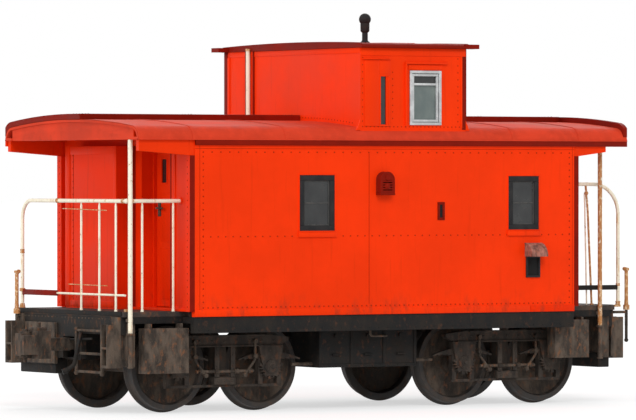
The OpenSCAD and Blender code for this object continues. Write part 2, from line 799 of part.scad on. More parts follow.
// A side frame of a truck at its own middle: top beam, jaws, ties, springs and journal boxes.
module side_frame() {
    color("#3b332d") {
        along_y(frame_y - frame_t / 2, frame_y + frame_t / 2) polygon([
            [-frame_l / 2, frame_top - 35], [-frame_l / 2 + 120, frame_top - frame_h],
            [frame_l / 2 - 120, frame_top - frame_h], [frame_l / 2, frame_top - 35],
            [frame_l / 2, frame_top], [wheelbase / 2 - 60, frame_top + 30],
            [-wheelbase / 2 + 60, frame_top + 30], [-frame_l / 2, frame_top]]);
        for (s = [-1, 1]) translate([s * wheelbase / 2, 0, 0]) {
            for (t = [-1, 1]) block(t * (box_l / 2 + 4 + jaw_w / 2) - jaw_w / 2,
                t * (box_l / 2 + 4 + jaw_w / 2) + jaw_w / 2, frame_y - frame_t / 2 + 10,
                frame_y + frame_t / 2 - 10, axle_z - 190, frame_top - frame_h + 5);
            block(-box_l / 2 - jaw_w - 4, box_l / 2 + jaw_w + 4, frame_y - 25, frame_y + 25,
                axle_z - 215, axle_z - 185);
        }
        block(-wheelbase / 2 + box_l / 2 + jaw_w, wheelbase / 2 - box_l / 2 - jaw_w,
            frame_y - 20, frame_y + 20, axle_z - 212, axle_z - 186);
        block(-bolster_w / 2 - 60, bolster_w / 2 + 60, frame_y - frame_t / 2, frame_y + frame_t / 2,
            axle_z - 190, axle_z - 100);
    }
}

// Journal box round the end of an axle, with its leaf spring above.
module journal_box() {
    color("#55463a") {
        difference() {
            block(-box_l / 2, box_l / 2, frame_y - 65, frame_y + 72, axle_z - box_h / 2,
                spring_z + 10);
            translate([0, frame_y - 66, axle_z]) rotate([-90, 0, 0])
                cylinder(r = journal_r + bore_gap, h = axle_end + bore_gap - frame_y + 66);
        }
        translate([0, frame_y + 72, axle_z]) rotate([-90, 0, 0]) cylinder(r = 58, h = 16);
        // Leaf spring, longest leaf on top, held by a buckle under the frame.
        along_y(frame_y - leaf_w / 2, frame_y + leaf_w / 2)
            translate([0, spring_z - leaf_r]) polygon(spring_outline());
        block(-40, 40, frame_y - leaf_w / 2 - 8, frame_y + leaf_w / 2 + 8, spring_z - 20,
            frame_top - frame_h + 5);
    }
}

module truck_frames() {
    both_sides() {
        side_frame();
        for (s = [-1, 1]) translate([s * wheelbase / 2, 0, 0]) journal_box();
    }
}

module truck_bolster() {
    color("#2c2723") difference() {
        union() {
            block(-bolster_w / 2, bolster_w / 2, -frame_y + frame_t / 2, frame_y - frame_t / 2,
                bolster_top - bolster_h, bolster_top);
            both_sides() block(-bolster_w / 2, bolster_w / 2, frame_y - frame_t / 2 - 120,
                frame_y - frame_t / 2, axle_z - 190, bolster_top - bolster_h + 5);
            translate([0, 0, bolster_top - 1]) cylinder(r = plate_r - 40, h = plate_z - bolster_top
                - clear + 1);
        }
        translate([0, 0, bolster_top - 200]) cylinder(r = pivot_r + bore_gap, h = 300);
    }
}

module truck_brakes() {
    color("#4a3c32") both_sides() for (s = [-1, 1]) {
        // Shoe that follows the tread, its hanger and its half of the brake beam.
        difference() {
            translate([s * wheelbase / 2, wheel_in + 45, axle_z]) rotate([-90, 0, 0])
                cylinder(r = tread_r + 12 + shoe_t, h = rim_w - 60);
            translate([s * wheelbase / 2, wheel_in + 40, axle_z]) rotate([-90, 0, 0])
                cylinder(r = tread_r + 12, h = rim_w);
            translate([s * (wheelbase / 2 + 500), wheel_in, axle_z]) cube([860, 400, 1400],
                center = true);
            for (z = [axle_z + 120, axle_z - 1000 - 200]) translate([-1000, wheel_in, z])
                cube([2000, 400, 1000]);
        }
        block(min(s * 8, s * 66), max(s * 8, s * 66), 0, wheel_in + 46, axle_z - 75, axle_z - 25);
        block(min(s * 50, s * 110), max(s * 50, s * 110), wheel_in + 60, wheel_in + 90, axle_z + 90,
            bolster_top - bolster_h);
    }
}

// ---- Wheelsets ----

module wheel() {
    rotate_extrude() polygon([
        [axle_r - 2, -10], [hub_r, -10], [hub_r + 8, 45], [tread_r - 75, 70], [tread_r - 68, 8],
        [flange_r - 8, 4], [flange_r, 12], [flange_r - 4, 26], [tread_r + 2, 36],
        [tread_r - 5, rim_w], [tread_r - 62, rim_w - 4], [tread_r - 72, 104],
        [hub_r + 8, 82], [hub_r - 4, rim_w + 12], [axle_r - 2, rim_w + 12]]);
}

module wheelset(x) {
    color("#3a2f28") translate([x, 0, axle_z]) {
        rotate([90, 0, 0]) cylinder(r = axle_r, h = 2 * (wheel_in + rim_w + 30), center = true);
        rotate([90, 0, 0]) cylinder(r = journal_r, h = 2 * axle_end, center = true);
        both_sides() translate([0, wheel_in, 0]) rotate([-90, 0, 0]) wheel();
    }
}

front_axle = -truck_x - wheelbase / 2;

sills();
crossmembers();
draft_pockets();
floor_deck();
end_beams();
side_wall();  // side_wall_near
mirror([0, 1, 0]) side_wall();  // side_wall_far
end_wall();  // end_wall_front
mirror([1, 0, 0]) end_wall();  // end_wall_rear
lockers();
main_roof();
eaves();
roof_walk();
end_lips();
cupola_walls();
cupola_roof();
cupola_windows();
side_windows();
window_glass();
smoke_jack();
marker_lamps();
vent_hoods();
railing_front();
railing_rear();
platform_poles();
brake_levers();
corner_steps();
end_ladders();
step_boxes();
battery_box();
brake_gear();
door();  // door_front
mirror([1, 0, 0]) door();  // door_rear
coupler();  // coupler_front
to_rear() coupler();  // coupler_rear
translate([-truck_x, 0, 0]) truck_frames();  // truck_frames_front
translate([-truck_x, 0, 0]) truck_bolster();  // truck_bolster_front
translate([-truck_x, 0, 0]) truck_brakes();  // truck_brakes_front
translate([truck_x, 0, 0]) truck_frames();  // truck_frames_rear
translate([truck_x, 0, 0]) truck_bolster();  // truck_bolster_rear
translate([truck_x, 0, 0]) truck_brakes();  // truck_brakes_rear
wheelset(front_axle);  // wheelset_1
wheelset(-truck_x + wheelbase / 2);  // wheelset_2
wheelset(truck_x - wheelbase / 2);  // wheelset_3
wheelset(-front_axle);  // wheelset_4
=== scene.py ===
"""Looks of a short four-axle caboose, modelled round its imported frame."""

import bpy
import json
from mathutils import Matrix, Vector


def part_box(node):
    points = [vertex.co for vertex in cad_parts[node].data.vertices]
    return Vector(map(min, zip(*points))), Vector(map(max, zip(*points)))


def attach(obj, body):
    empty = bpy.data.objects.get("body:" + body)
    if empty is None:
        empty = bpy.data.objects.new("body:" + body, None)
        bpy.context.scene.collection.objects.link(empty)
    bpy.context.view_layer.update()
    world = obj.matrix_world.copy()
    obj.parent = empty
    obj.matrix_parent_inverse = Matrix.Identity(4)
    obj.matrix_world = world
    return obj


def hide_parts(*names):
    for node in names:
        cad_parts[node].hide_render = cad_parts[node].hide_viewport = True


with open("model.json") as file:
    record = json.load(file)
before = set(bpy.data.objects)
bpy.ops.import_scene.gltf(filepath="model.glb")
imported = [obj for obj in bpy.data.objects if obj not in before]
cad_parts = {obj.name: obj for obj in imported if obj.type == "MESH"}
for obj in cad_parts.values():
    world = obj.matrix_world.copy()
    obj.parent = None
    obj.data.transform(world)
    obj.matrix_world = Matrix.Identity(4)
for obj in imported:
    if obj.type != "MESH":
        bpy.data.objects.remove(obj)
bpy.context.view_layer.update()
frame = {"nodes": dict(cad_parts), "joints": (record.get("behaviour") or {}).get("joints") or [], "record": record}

import json
import math

import bmesh
import bpy
from mathutils import Matrix, Vector

bl_info = {
    "name": "Caboose looks",
    "version": (1, 0, 0),
    "blender": (4, 5, 0),
    "location": "3D View > Sidebar > Caboose",
    "description": "Sheets, rivets, pipes, wheels and finishes of a short caboose",
    "category": "Object",
}

# Sizes that come from the frame, in metres.
SIDE_LO, SIDE_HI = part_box("side_wall_near")
ROOF_LO, ROOF_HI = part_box("main_roof")
CUPOLA_LO, CUPOLA_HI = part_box("cupola_walls")
TOP_LO, TOP_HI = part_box("cupola_roof")
DECK_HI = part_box("floor_deck")[1]
LOCKER_LO, LOCKER_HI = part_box("lockers")
BODY_X = SIDE_HI.x
HALF = -SIDE_LO.y
SILL_Z, EAVE_Z = SIDE_LO.z, SIDE_HI.z
FLOOR_Z, DECK_X = DECK_HI.z, DECK_HI.x
MAIN_ARCH = {"half": ROOF_HI.y, "rise": ROOF_HI.z - ROOF_LO.z, "shoulder": 0.15, "eave": ROOF_LO.z}
TOP_ARCH = {"half": TOP_HI.y, "rise": TOP_HI.z - TOP_LO.z, "shoulder": 0.05, "eave": TOP_LO.z}
JOINTS = {j["name"]: Vector(j["pos_m"]) for j in frame["joints"]}
WHEELSETS = [f"wheelset_{i}" for i in (1, 2, 3, 4)]
TRUCK_X = JOINTS["rear_truck_swivel"].x
FRAME_Y = 0.985
# A truck's axles: distance from its middle, and height.
AXLE_OUT, AXLE_Z = 0.575, 0.483
# Radius of the bolts round a journal lid, and the two radii of the strap round its box.
LID_BOLTS, STRAP_OUT, STRAP_IN = 0.066, 0.155, 0.108
# Train pipe's height, and the outer face of the battery box.
PIPE_Z, BOX_Y = 0.93, -1.14
POST_X, POST_Y, RAIL_Z = DECK_X - 0.06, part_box("end_beams")[1].y, FLOOR_Z + 1.175
DECK_Y = POST_Y + 0.05
POLE_Y = DECK_Y + 0.028
SIDE_BALUSTERS = (0.09, 0.47)
END_BALUSTERS = (-0.92, -0.565, -0.17)
# Windows of a side: middle along X, sill height, width, height.
SIDE_WINDOWS = [(-0.91, 1.945, 0.44, 0.60), (1.76, 1.945, 0.40, 0.59)]
SLIT = (-0.055, 3.094, 0.07, 0.52)
WIDE = (0.483, 3.088, 0.41, 0.595)
# Fittings of a side, along X and height of the foot; and the pole of a cupola end, across.
LAMP_AT, VENT_AT = (-0.07, 2.34), (1.88, 1.42)
CUPOLA_POLE_Y = 0.873


# ---- Finishes ----

class Value:
    """A socket of a finish; arithmetic on it adds Math nodes."""

    def __init__(self, finish, socket):
        self.finish, self.socket = finish, socket

    def math(self, operation, first, second):
        return self.finish.node("ShaderNodeMath", {"operation": operation}, {0: first, 1: second})

    def __add__(self, other):
        return self.math("ADD", self, other)

    __radd__ = __add__

    def __sub__(self, other):
        return self.math("SUBTRACT", self, other)

    def __rsub__(self, other):
        return self.math("SUBTRACT", other, self)

    def __mul__(self, other):
        return self.math("MULTIPLY", self, other)

    __rmul__ = __mul__


class Finish:
    """A procedural finish: one material and the nodes that make it."""

    def __init__(self, name):
        self.material = bpy.data.materials.new(name)
        self.material.use_nodes = True
        self.tree = self.material.node_tree
        self.tree.nodes.clear()
        self.place = self.node("ShaderNodeTexCoord", output="Object")

    def node(self, kind, settings=None, inputs=None, output=0):
        """Adds a node, sets it up, feeds its sockets and returns one output."""
        made = self.tree.nodes.new(kind)
        for key, value in (settings or {}).items():
            setattr(made, key, value)
        for key, value in (inputs or {}).items():
            if isinstance(value, Value):
                self.tree.links.new(value.socket, made.inputs[key])
            else:
                made.inputs[key].default_value = value
        return Value(self, made.outputs[output]) if made.outputs else None

    def along(self, axis):
        return self.node("ShaderNodeSeparateXYZ", inputs={0: self.place}, output=axis)

    def noise(self, size, stretch=(1, 1, 1), shift=0.0, detail=5.0):
        """Noise with grains of about size metres, drawn out along an axis by stretch."""
        point = self.node("ShaderNodeMapping", inputs={
            "Vector": self.place, "Location": (shift, shift, shift),
            "Scale": [1 / (size * s) for s in stretch]})
        return self.node("ShaderNodeTexNoise", inputs={
            "Vector": point, "Scale": 1.0, "Detail": detail, "Roughness": 0.6})

    def fade(self, value, low, high):
        """A smooth mask: 0 below low and 1 above high, or the other way round."""
        return self.node("ShaderNodeMapRange", {"interpolation_type": "SMOOTHSTEP"}, {
            "Value": value, "From Min": low, "From Max": high})

    def mix(self, share, first, second):
        feeds = {0: share}
        for key, value in ((6, first), (7, second)):
            feeds[key] = value if isinstance(value, Value) else (*value, 1.0)
        return self.node("ShaderNodeMix", {"data_type": "RGBA"}, feeds, 2)

    def coat(self, colour, roughness, height=None, depth=0.001, **constants):
        """Ends the finish: colour, roughness and relief go to the shader."""
        feeds = {"Base Color": colour if isinstance(colour, Value) else (*colour, 1.0),
                 "Roughness": roughness}
        feeds.update({key.replace("_", " "): value for key, value in constants.items()})
        if height is not None:
            feeds["Normal"] = self.node("ShaderNodeBump", inputs={
                "Strength": 1.0, "Distance": depth, "Height": height})
        shader = self.node("ShaderNodeBsdfPrincipled", inputs=feeds)
        self.node("ShaderNodeOutputMaterial", inputs={"Surface": shader})
        return self.material


def shade(colour, factor):
    return tuple(min(1.0, c * factor) for c in colour)


def red_paint(name, colour, low_z, streaks=0.25, rough=0.42):
    """Sprayed enamel on steel sheet: faded patches, rain streaks and dirt low down."""
    f = Finish(name)
    patches = f.fade(f.noise(0.8, shift=3.1), 0.35, 0.68)
    paint = f.mix(patches, shade(colour, 0.93), shade(colour, 1.04))
    runs = f.fade(f.noise(0.045, (1, 1, 16), detail=3.0), 0.56, 0.76)
    paint = f.mix(runs * streaks, paint, shade(colour, 0.62))
    low = f.fade(f.along("Z"), low_z + 0.30, low_z - 0.02)
    splash = f.fade(f.noise(0.10, (1, 1, 2.2), shift=7.0), 0.46, 0.74)
    paint = f.mix(low * splash * 0.55, paint, (0.16, 0.035, 0.018))
    pits = f.fade(f.noise(0.022, shift=11.0, detail=3.0), 0.73, 0.79)
    paint = f.mix(pits * 0.6, paint, (0.14, 0.03, 0.015))
    wave = f.noise(0.35, (1.4, 1, 1), shift=5.0, detail=2.0)
    peel = f.noise(0.006, detail=2.0)
    return f.coat(paint, rough + 0.16 * patches + 0.25 * low * splash,
                  wave * 1.0 + peel * 0.04, 0.0035, Specular_IOR_Level=0.18,
                  Specular_Tint=(1.0, 0.42, 0.22, 1.0))


def roof_paint(name, colour, rough=0.62):
    """Matt paint bleached by the sun, with dust lying in streaks across the slope."""
    f = Finish(name)
    patches = f.fade(f.noise(0.55, (1.6, 1, 1), shift=1.7), 0.33, 0.68)
    paint = f.mix(patches, shade(colour, 0.84), shade(colour, 1.12))
    streaks = f.fade(f.noise(0.07, (1, 9, 1), shift=4.0), 0.45, 0.75)
    paint = f.mix(streaks * 0.35, paint, shade(colour, 1.30))
    grime = f.fade(f.noise(0.16, (2.2, 1, 1), shift=9.0), 0.52, 0.78)
    paint = f.mix(grime * 0.35, paint, shade(colour, 0.42))
    grain = f.noise(0.012, shift=2.0, detail=3.0)
    wave = f.noise(0.30, shift=6.0, detail=2.0)
    return f.coat(paint, rough + 0.14 * patches, wave + grain * 0.12, 0.004,
                  Specular_IOR_Level=0.16, Specular_Tint=(1.0, 0.42, 0.25, 1.0))


def grimy_black(name, base, dust, dust_share, rust_share, size=0.16):
    """Black paint under road dust, with rust where it has flaked."""
    f = Finish(name)
    cloud = f.fade(f.noise(size, (1, 1, 1.6), shift=2.3), 0.38, 0.72)
    paint = f.mix(cloud * dust_share, base, dust)
    flakes = f.fade(f.noise(size * 0.33, (1, 1, 1.5), shift=8.1), 0.56, 0.70)
    paint = f.mix(flakes * rust_share, paint, (0.17, 0.065, 0.028))
    grit = f.noise(size * 0.06, shift=5.5, detail=3.0)
    paint = f.mix(f.fade(grit, 0.52, 0.8) * 0.3, paint, shade(dust, 1.6))
    return f.coat(paint, 0.62 + 0.25 * cloud, grit + flakes * 0.35, 0.0012,
                  Specular_IOR_Level=0.18)


def rusty_plate(name, grey, rust, size=0.09):
    """Bare plate gone brown, with paler scale and rust in upright drifts."""
    f = Finish(name)
    drift = f.fade(f.noise(size, (1, 1, 2.4), shift=1.1), 0.34, 0.66)
    steel = f.mix(drift, shade(grey, 0.25), grey)
    bloom = f.fade(f.noise(size * 0.55, (1, 1, 1.8), shift=6.2), 0.52, 0.72)
    steel = f.mix(bloom * 0.75, steel, rust)
    chips = f.fade(f.noise(size * 0.16, shift=3.4), 0.60, 0.72)
    steel = f.mix(chips * 0.55, steel, shade(grey, 2.0))
    return f.coat(steel, 0.74 + 0.16 * drift, drift * 0.4 + chips * 0.3 + bloom * 0.4, 0.002,
                  Specular_IOR_Level=0.3)


def cream_paint(name, cream, rust_from, rust=(0.36, 0.14, 0.035)):
    """Cream paint on pipe, chipped through to rust that has run downwards."""
    f = Finish(name)
    grime = f.fade(f.noise(0.12, (1, 1, 1.4), shift=1.9), 0.42, 0.75)
    paint = f.mix(grime * 0.35, cream, shade(cream, 0.70))
    stain = f.fade(f.noise(0.05, (1, 1, 3.5), shift=6.6), rust_from - 0.06, rust_from + 0.10)
    paint = f.mix(stain * 0.75, paint, (0.62, 0.36, 0.14))
    chips = f.fade(f.noise(0.022, (1, 1, 1.7), shift=4.4), rust_from + 0.03, rust_from + 0.07)
    paint = f.mix(chips * 0.9, paint, rust)
    return f.coat(paint, 0.40 + 0.35 * chips, 1.0 - chips, 0.0008)


def rolled_steel(name):
    """Wheel steel: dark scale and brown dust."""
    f = Finish(name)
    cloud = f.fade(f.noise(0.13, shift=2.0), 0.36, 0.70)
    steel = f.mix(cloud, (0.014, 0.012, 0.011), (0.048, 0.035, 0.027))
    bloom = f.fade(f.noise(0.05, shift=7.7), 0.54, 0.72)
    steel = f.mix(bloom * 0.4, steel, (0.10, 0.045, 0.022))
    grit = f.noise(0.010, shift=3.0, detail=3.0)
    return f.coat(steel, 0.58 + 0.22 * cloud, grit + bloom * 0.3, 0.0010, Metallic=0.0,
                  Specular_IOR_Level=0.45)


def plain_metal(name, colour, metallic, rough, streak=0.012):
    """Drawn metal with a fine lengthwise grain and dull patches."""
    f = Finish(name)
    dull = f.fade(f.noise(0.09, shift=1.0), 0.38, 0.7)
    metal = f.mix(dull, shade(colour, 0.72), colour)
    grain = f.noise(streak * 0.2, (1, 1, 12), detail=2.0)
    return f.coat(metal, rough + 0.18 * dull, grain, 0.0003, Metallic=metallic)


def window_glass(name, colour, haze):
    """Dark glass with a thin film of dust in patches."""
    f = Finish(name)
    film = f.fade(f.noise(0.20, (1, 1, 1.3), shift=2.0), 0.30, 0.80)
    spots = f.fade(f.noise(0.02, shift=5.0), 0.62, 0.80)
    tint = f.mix(film * 0.6 + spots * 0.2, colour, haze)
    return f.coat(tint, 0.10 + 0.25 * film, None, Specular_IOR_Level=0.5)


def make_finishes():
    looks = bpy.context.scene.caboose_colours
    red, roof = tuple(looks.body), tuple(looks.roof)
    # dark holds the dark trim colour, which is painted shade.
    dark, cream = tuple(looks.trim), tuple(looks.railing)
    sill = SILL_Z
    return {
        "body_red": red_paint("sprayed_red_sheet", red, sill),
        # End walls, lockers and doors: the same paint as the sides, darker as painted shade.
        "end_red": red_paint("end_red_painted_shade", tuple(looks.ends), FLOOR_Z, 0.35),
        "roof_red": roof_paint("bleached_roof_red", roof),
        "trim_red": red_paint("fascia_red", shade(red, 0.90), sill, 0.3),
        # Painted shade: the dark trim red goes on strips and edges that stand in shade; the roof finish only adds
        # fading and dust to it.
        "trim_dark_red": roof_paint("shaded_dark_red", dark, 0.5),
        # Rivet heads and seam strips in a much darker red than the sheet: painted shade round the heads and along
        # the strips.
        "rivet_shade_red": red_paint("rivet_shade_red", shade(red, 0.42), sill),
        "platform_black": grimy_black("platform_black", (0.010, 0.010, 0.010),
                                      (0.060, 0.045, 0.034), 0.45, 0.35),
        "underframe_black": grimy_black("underframe_black", (0.007, 0.007, 0.007),
                                        (0.050, 0.039, 0.030), 0.35, 0.22),
        "deck_brown": grimy_black("deck_plate", (0.030, 0.026, 0.024), (0.11, 0.075, 0.055),
                                  0.7, 0.7),
        "rusty_steel": rusty_plate("rusty_plate", (0.105, 0.078, 0.058), (0.22, 0.085, 0.032)),
        "truck_steel": rusty_plate("dusty_cast_steel", (0.060, 0.046, 0.036),
                                   (0.12, 0.050, 0.024), 0.11),
        "cast_steel": rusty_plate("rusty_casting", (0.085, 0.063, 0.047), (0.17, 0.068, 0.030)),
        "wheel_steel": rolled_steel("rolled_wheel_steel"),
        "railing_cream": cream_paint("chipped_cream", cream, 0.60),
        "rusted_cream": cream_paint("rusted_cream", shade(cream, 0.85), 0.40,
                                    (0.42, 0.16, 0.035)),
        "sash_black": grimy_black("sash_black", (0.012, 0.012, 0.013), (0.045, 0.042, 0.040),
                                  0.5, 0.0, 0.07),
        "sash_line": grimy_black("worn_glazing_bead", (0.060, 0.060, 0.058),
                                 (0.12, 0.11, 0.10), 0.7, 0.0, 0.04),
        "bare_aluminium": plain_metal("mill_aluminium", (0.62, 0.63, 0.63), 0.55, 0.34),
        # The near-black glass colour is painted shade for the unlit inside behind it; the haze is dust.
        "glass": window_glass("glass_with_painted_inside_shade", (0.012, 0.013, 0.014), (0.042, 0.044, 0.042)),
        "pale_glass": window_glass("dusty_pale_glass", (0.10, 0.13, 0.125), (0.20, 0.23, 0.21)),
        "jack_black": grimy_black("jack_black", (0.010, 0.010, 0.011), (0.035, 0.028, 0.024),
                                  0.5, 0.12, 0.05),
        "hood_rust": rusty_plate("worn_pink_hood", (0.42, 0.17, 0.125), (0.32, 0.10, 0.055),
                                 0.05),
        # Near black for lamp backs and openings: painted shade where the inside lies in shadow.
        "dark_inside": grimy_black("dark_inside", (0.006, 0.006, 0.006), (0.015, 0.013, 0.012),
                                   0.4, 0.0),
    }


FINISHES = {}


# ---- Making pieces ----

def turn_to(direction):
    return Vector(direction).to_track_quat("Z", "Y").to_matrix().to_4x4()


def block(bm, lo, hi, edge=0.004, steps=2, turn=None):
    """A bar or plate between any two opposite corners, with its edges eased."""
    lo, hi = (Vector(map(pick, lo, hi)) for pick in (min, max))
    place = Matrix.Translation((lo + hi) / 2) @ (turn or Matrix()) @ Matrix.Diagonal((*(hi - lo),
                                                                                      1))
    verts = bmesh.ops.create_cube(bm, size=1, matrix=place)["verts"]
    if edge:
        edges = list(dict.fromkeys(e for v in verts for e in v.link_edges))
        bmesh.ops.bevel(bm, geom=edges, offset=edge, offset_type="OFFSET", segments=steps,
                        profile=0.5, affect="EDGES", material=-1)


def ring_of_blocks(bm, x0, x1, z0, z1, wide, y0, y1, edge=0.002):
    """A rectangular frame of four bars round an opening in a side."""
    block(bm, (x0, y0, z1 - wide), (x1, y1, z1), edge)
    block(bm, (x0, y0, z0), (x1, y1, z0 + wide), edge)
    block(bm, (x0, y0, z0 + wide), (x0 + wide, y1, z1 - wide), edge)
    block(bm, (x1 - wide, y0, z0 + wide), (x1, y1, z1 - wide), edge)


def rod(bm, a, b, r, r2=None, sides=18):
    """A round bar or cone between two points."""
    a, b = Vector(a), Vector(b)
    bmesh.ops.create_cone(bm, cap_ends=True, cap_tris=False, segments=sides, radius1=r,
                          radius2=r if r2 is None else r2, depth=(b - a).length,
                          matrix=Matrix.Translation((a + b) / 2) @ turn_to(b - a))


def ball(bm, at, r, squash=(1, 1, 1), sides=20):
    bmesh.ops.create_uvsphere(bm, u_segments=sides, v_segments=sides // 2, radius=r,
                              matrix=Matrix.Translation(at) @ Matrix.Diagonal((*squash, 1)))


def turned(bm, profile, at, axis, sides=64, closed=True):
    """A piece turned about an axis; the profile is (distance from it, place along it)."""
    place = Matrix.Translation(at) @ turn_to(axis)
    before = set(bm.verts)
    verts = [bm.verts.new(place @ Vector((r, 0, h))) for r, h in profile]
    pairs = list(zip(verts, verts[1:])) + ([(verts[-1], verts[0])] if closed else [])
    edges = [bm.edges.new(pair) for pair in pairs]
    bmesh.ops.spin(bm, geom=verts + edges, cent=at, axis=Vector(axis).normalized(),
                   dvec=(0, 0, 0), angle=2 * math.pi, steps=sides, use_merge=True,
                   use_normal_flip=False, use_duplicate=False)
    bmesh.ops.remove_doubles(bm, verts=[v for v in bm.verts if v not in before], dist=1e-5)


def pipe(bm, points, r, bend=0.0, sides=16):
    """A round pipe through points, each inner corner bent to a radius."""
    points = [Vector(p) for p in points]
    ways = [(b - a).normalized() for a, b in zip(points, points[1:])]
    ring = bmesh.ops.create_circle(bm, cap_ends=True, radius=r, segments=sides,
                                   matrix=Matrix.Translation(points[0]) @ turn_to(ways[0]))["verts"]
    rim = list({e for v in ring for e in v.link_edges})
    at = points[0]
    for i, way in enumerate(ways):
        turn = way.angle(ways[i + 1]) if i + 1 < len(ways) else 0.0
        cut = bend * math.tan(turn / 2)
        stop = points[i + 1] - way * cut
        made = bmesh.ops.extrude_edge_only(bm, edges=rim)["geom"]
        fresh = {g for g in made if isinstance(g, bmesh.types.BMVert)}
        bmesh.ops.translate(bm, verts=list(fresh), vec=stop - at)
        rim = [g for g in made if isinstance(g, bmesh.types.BMEdge) and set(g.verts) <= fresh]
        at = stop
        if cut:
            axis = way.cross(ways[i + 1]).normalized()
            last = bmesh.ops.spin(bm, geom=rim, cent=at + axis.cross(way).normalized() * bend,
                                  axis=axis, dvec=(0, 0, 0), angle=turn,
                                  steps=max(2, round(turn / 0.15)), use_merge=False,
                                  use_normal_flip=False, use_duplicate=False)["geom_last"]
            rim = [g for g in last if isinstance(g, bmesh.types.BMEdge)]
            at = points[i + 1] + ways[i + 1] * cut
    bmesh.ops.edgeloop_fill(bm, edges=rim)


def dot_mesh(r, sides=8, rings=4, flat=0.6):
    """Mesh of one round head, to be set down many times."""
    bm = bmesh.new()
    bmesh.ops.create_uvsphere(bm, u_segments=sides, v_segments=rings, radius=r,
                              matrix=Matrix.Diagonal((1, 1, flat, 1)))
    mesh = bpy.data.meshes.new("round_head")
    bm.to_mesh(mesh)
    bm.free()
    return mesh


def heads(bm, spots, out, r=0.009):
    """Round rivet or bolt heads at spots on a surface that faces out."""
    head = dot_mesh(r)
    turn = turn_to(out)
    for spot in spots:
        copy = head.copy()
        copy.transform(Matrix.Translation(spot) @ turn)
        bm.from_mesh(copy)
        bpy.data.meshes.remove(copy)
    bpy.data.meshes.remove(head)


def row(a, b, gap):
    """Evenly spaced spots from a to b."""
    a, b = Vector(a), Vector(b)
    n = max(1, round((b - a).length / gap))
    return [a.lerp(b, i / n) for i in range(n + 1)]


def arch(bm, x0, x1, half, rise, shoulder, eave, lift=0.0, thick=0.004, crown_only=False):
    """A curved sheet over a roof, from eave to eave and from x0 to x1."""
    big = ((half - shoulder) ** 2 + rise ** 2 - shoulder ** 2) / (2 * (rise - shoulder))
    side = math.atan2(big - rise, half - shoulder)
    crown = (0, eave + rise - big)
    arcs = [((-(half - shoulder), eave), side, 10), (crown, math.pi - 2 * side, 36),
            (((half - shoulder), eave), side, 10)]
    tip = bm.verts.new((x0, -half - lift, eave))
    if crown_only:
        arcs = arcs[1:2]
        away = Vector((0, -math.cos(side), math.sin(side))) * (big + lift)
        tip.co = Vector((x0, crown[0], crown[1])) + away
    rails = []
    for (cy, cz), angle, steps in arcs:
        made = bmesh.ops.spin(bm, geom=[tip], cent=(x0, cy, cz), axis=(-1, 0, 0),
                              dvec=(0, 0, 0), angle=angle, steps=steps, use_merge=False,
                              use_normal_flip=False, use_duplicate=False)
        tip = [g for g in made["geom_last"] if isinstance(g, bmesh.types.BMVert)][0]
    rails = [e for e in bm.edges if not e.link_faces
             and all(abs(v.co.x - x0) < 1e-7 for v in e.verts)]
    made = bmesh.ops.extrude_edge_only(bm, edges=rails)["geom"]
    fresh = [g for g in made if isinstance(g, bmesh.types.BMVert)]
    bmesh.ops.translate(bm, verts=fresh, vec=(x1 - x0, 0, 0))
    faces = [g for g in made if isinstance(g, bmesh.types.BMFace)]
    bmesh.ops.recalc_face_normals(bm, faces=faces)
    if sum(f.normal.z for f in faces) < 0:
        bmesh.ops.reverse_faces(bm, faces=faces)
    bmesh.ops.solidify(bm, geom=faces, thickness=thick)


def plate(bm, outline, out, depth, at=(0, 0, 0)):
    """A flat plate: its outline in space, pushed out by depth."""
    verts = [bm.verts.new(Vector(p) + Vector(at)) for p in outline]
    face = bmesh.ops.contextual_create(bm, geom=verts)["faces"][0]
    made = bmesh.ops.extrude_face_region(bm, geom=[face], use_keep_orig=True)["geom"]
    fresh = [g for g in made if isinstance(g, bmesh.types.BMVert)]
    bmesh.ops.translate(bm, verts=fresh, vec=Vector(out).normalized() * depth)


def both_turns(bm, make):
    """Runs make on a fresh mesh, then adds it twice: as it is and turned half round."""
    made = bmesh.new()
    make(made)
    mesh = bpy.data.meshes.new("one_end")
    made.to_mesh(mesh)
    made.free()
    bm.from_mesh(mesh)
    mesh.transform(Matrix.Rotation(math.pi, 4, "Z"))
    bm.from_mesh(mesh)
    bpy.data.meshes.remove(mesh)


def collar(bm, at, axis, r, length):
    """A pipe coupling: a short sleeve with a bead at each end."""
    at, way = Vector(at), Vector(axis).normalized()
    rod(bm, at - way * length / 2, at + way * length / 2, r)
    for s in (-1, 1):
        rod(bm, at + way * (s * length / 2 - 0.004), at + way * (s * length / 2 + 0.004), r * 1.12)


def roof_under(y, arch_of, thick):
    """Height of a roof's inner face at a distance y from the centre line."""
    half, rise, shoulder = arch_of["half"], arch_of["rise"], arch_of["shoulder"]
    big = ((half - shoulder) ** 2 + rise ** 2 - shoulder ** 2) / (2 * (rise - shoulder))
    return arch_of["eave"] + rise - big + math.sqrt((big - thick) ** 2 - y * y)


def piece(name, bm, body, slot, finish=None, replaces=(), sharp=34, smooth=True):
    """Ends a piece: normals out, soft shading, finish, and the body that it rides on."""
    bmesh.ops.recalc_face_normals(bm, faces=bm.faces[:])
    for face in bm.faces:
        face.smooth = smooth
    for edge in bm.edges:
        edge.smooth = edge.calc_face_angle(0.0) < math.radians(sharp)
    mesh = bpy.data.meshes.new(name)
    bm.to_mesh(mesh)
    bm.free()
    made = bpy.data.objects.new(name, mesh)
    bpy.context.scene.collection.objects.link(made)
    mesh.materials.append(FINISHES[finish or slot])
    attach(made, body)
    if replaces:
        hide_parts(*replaces)
    return made


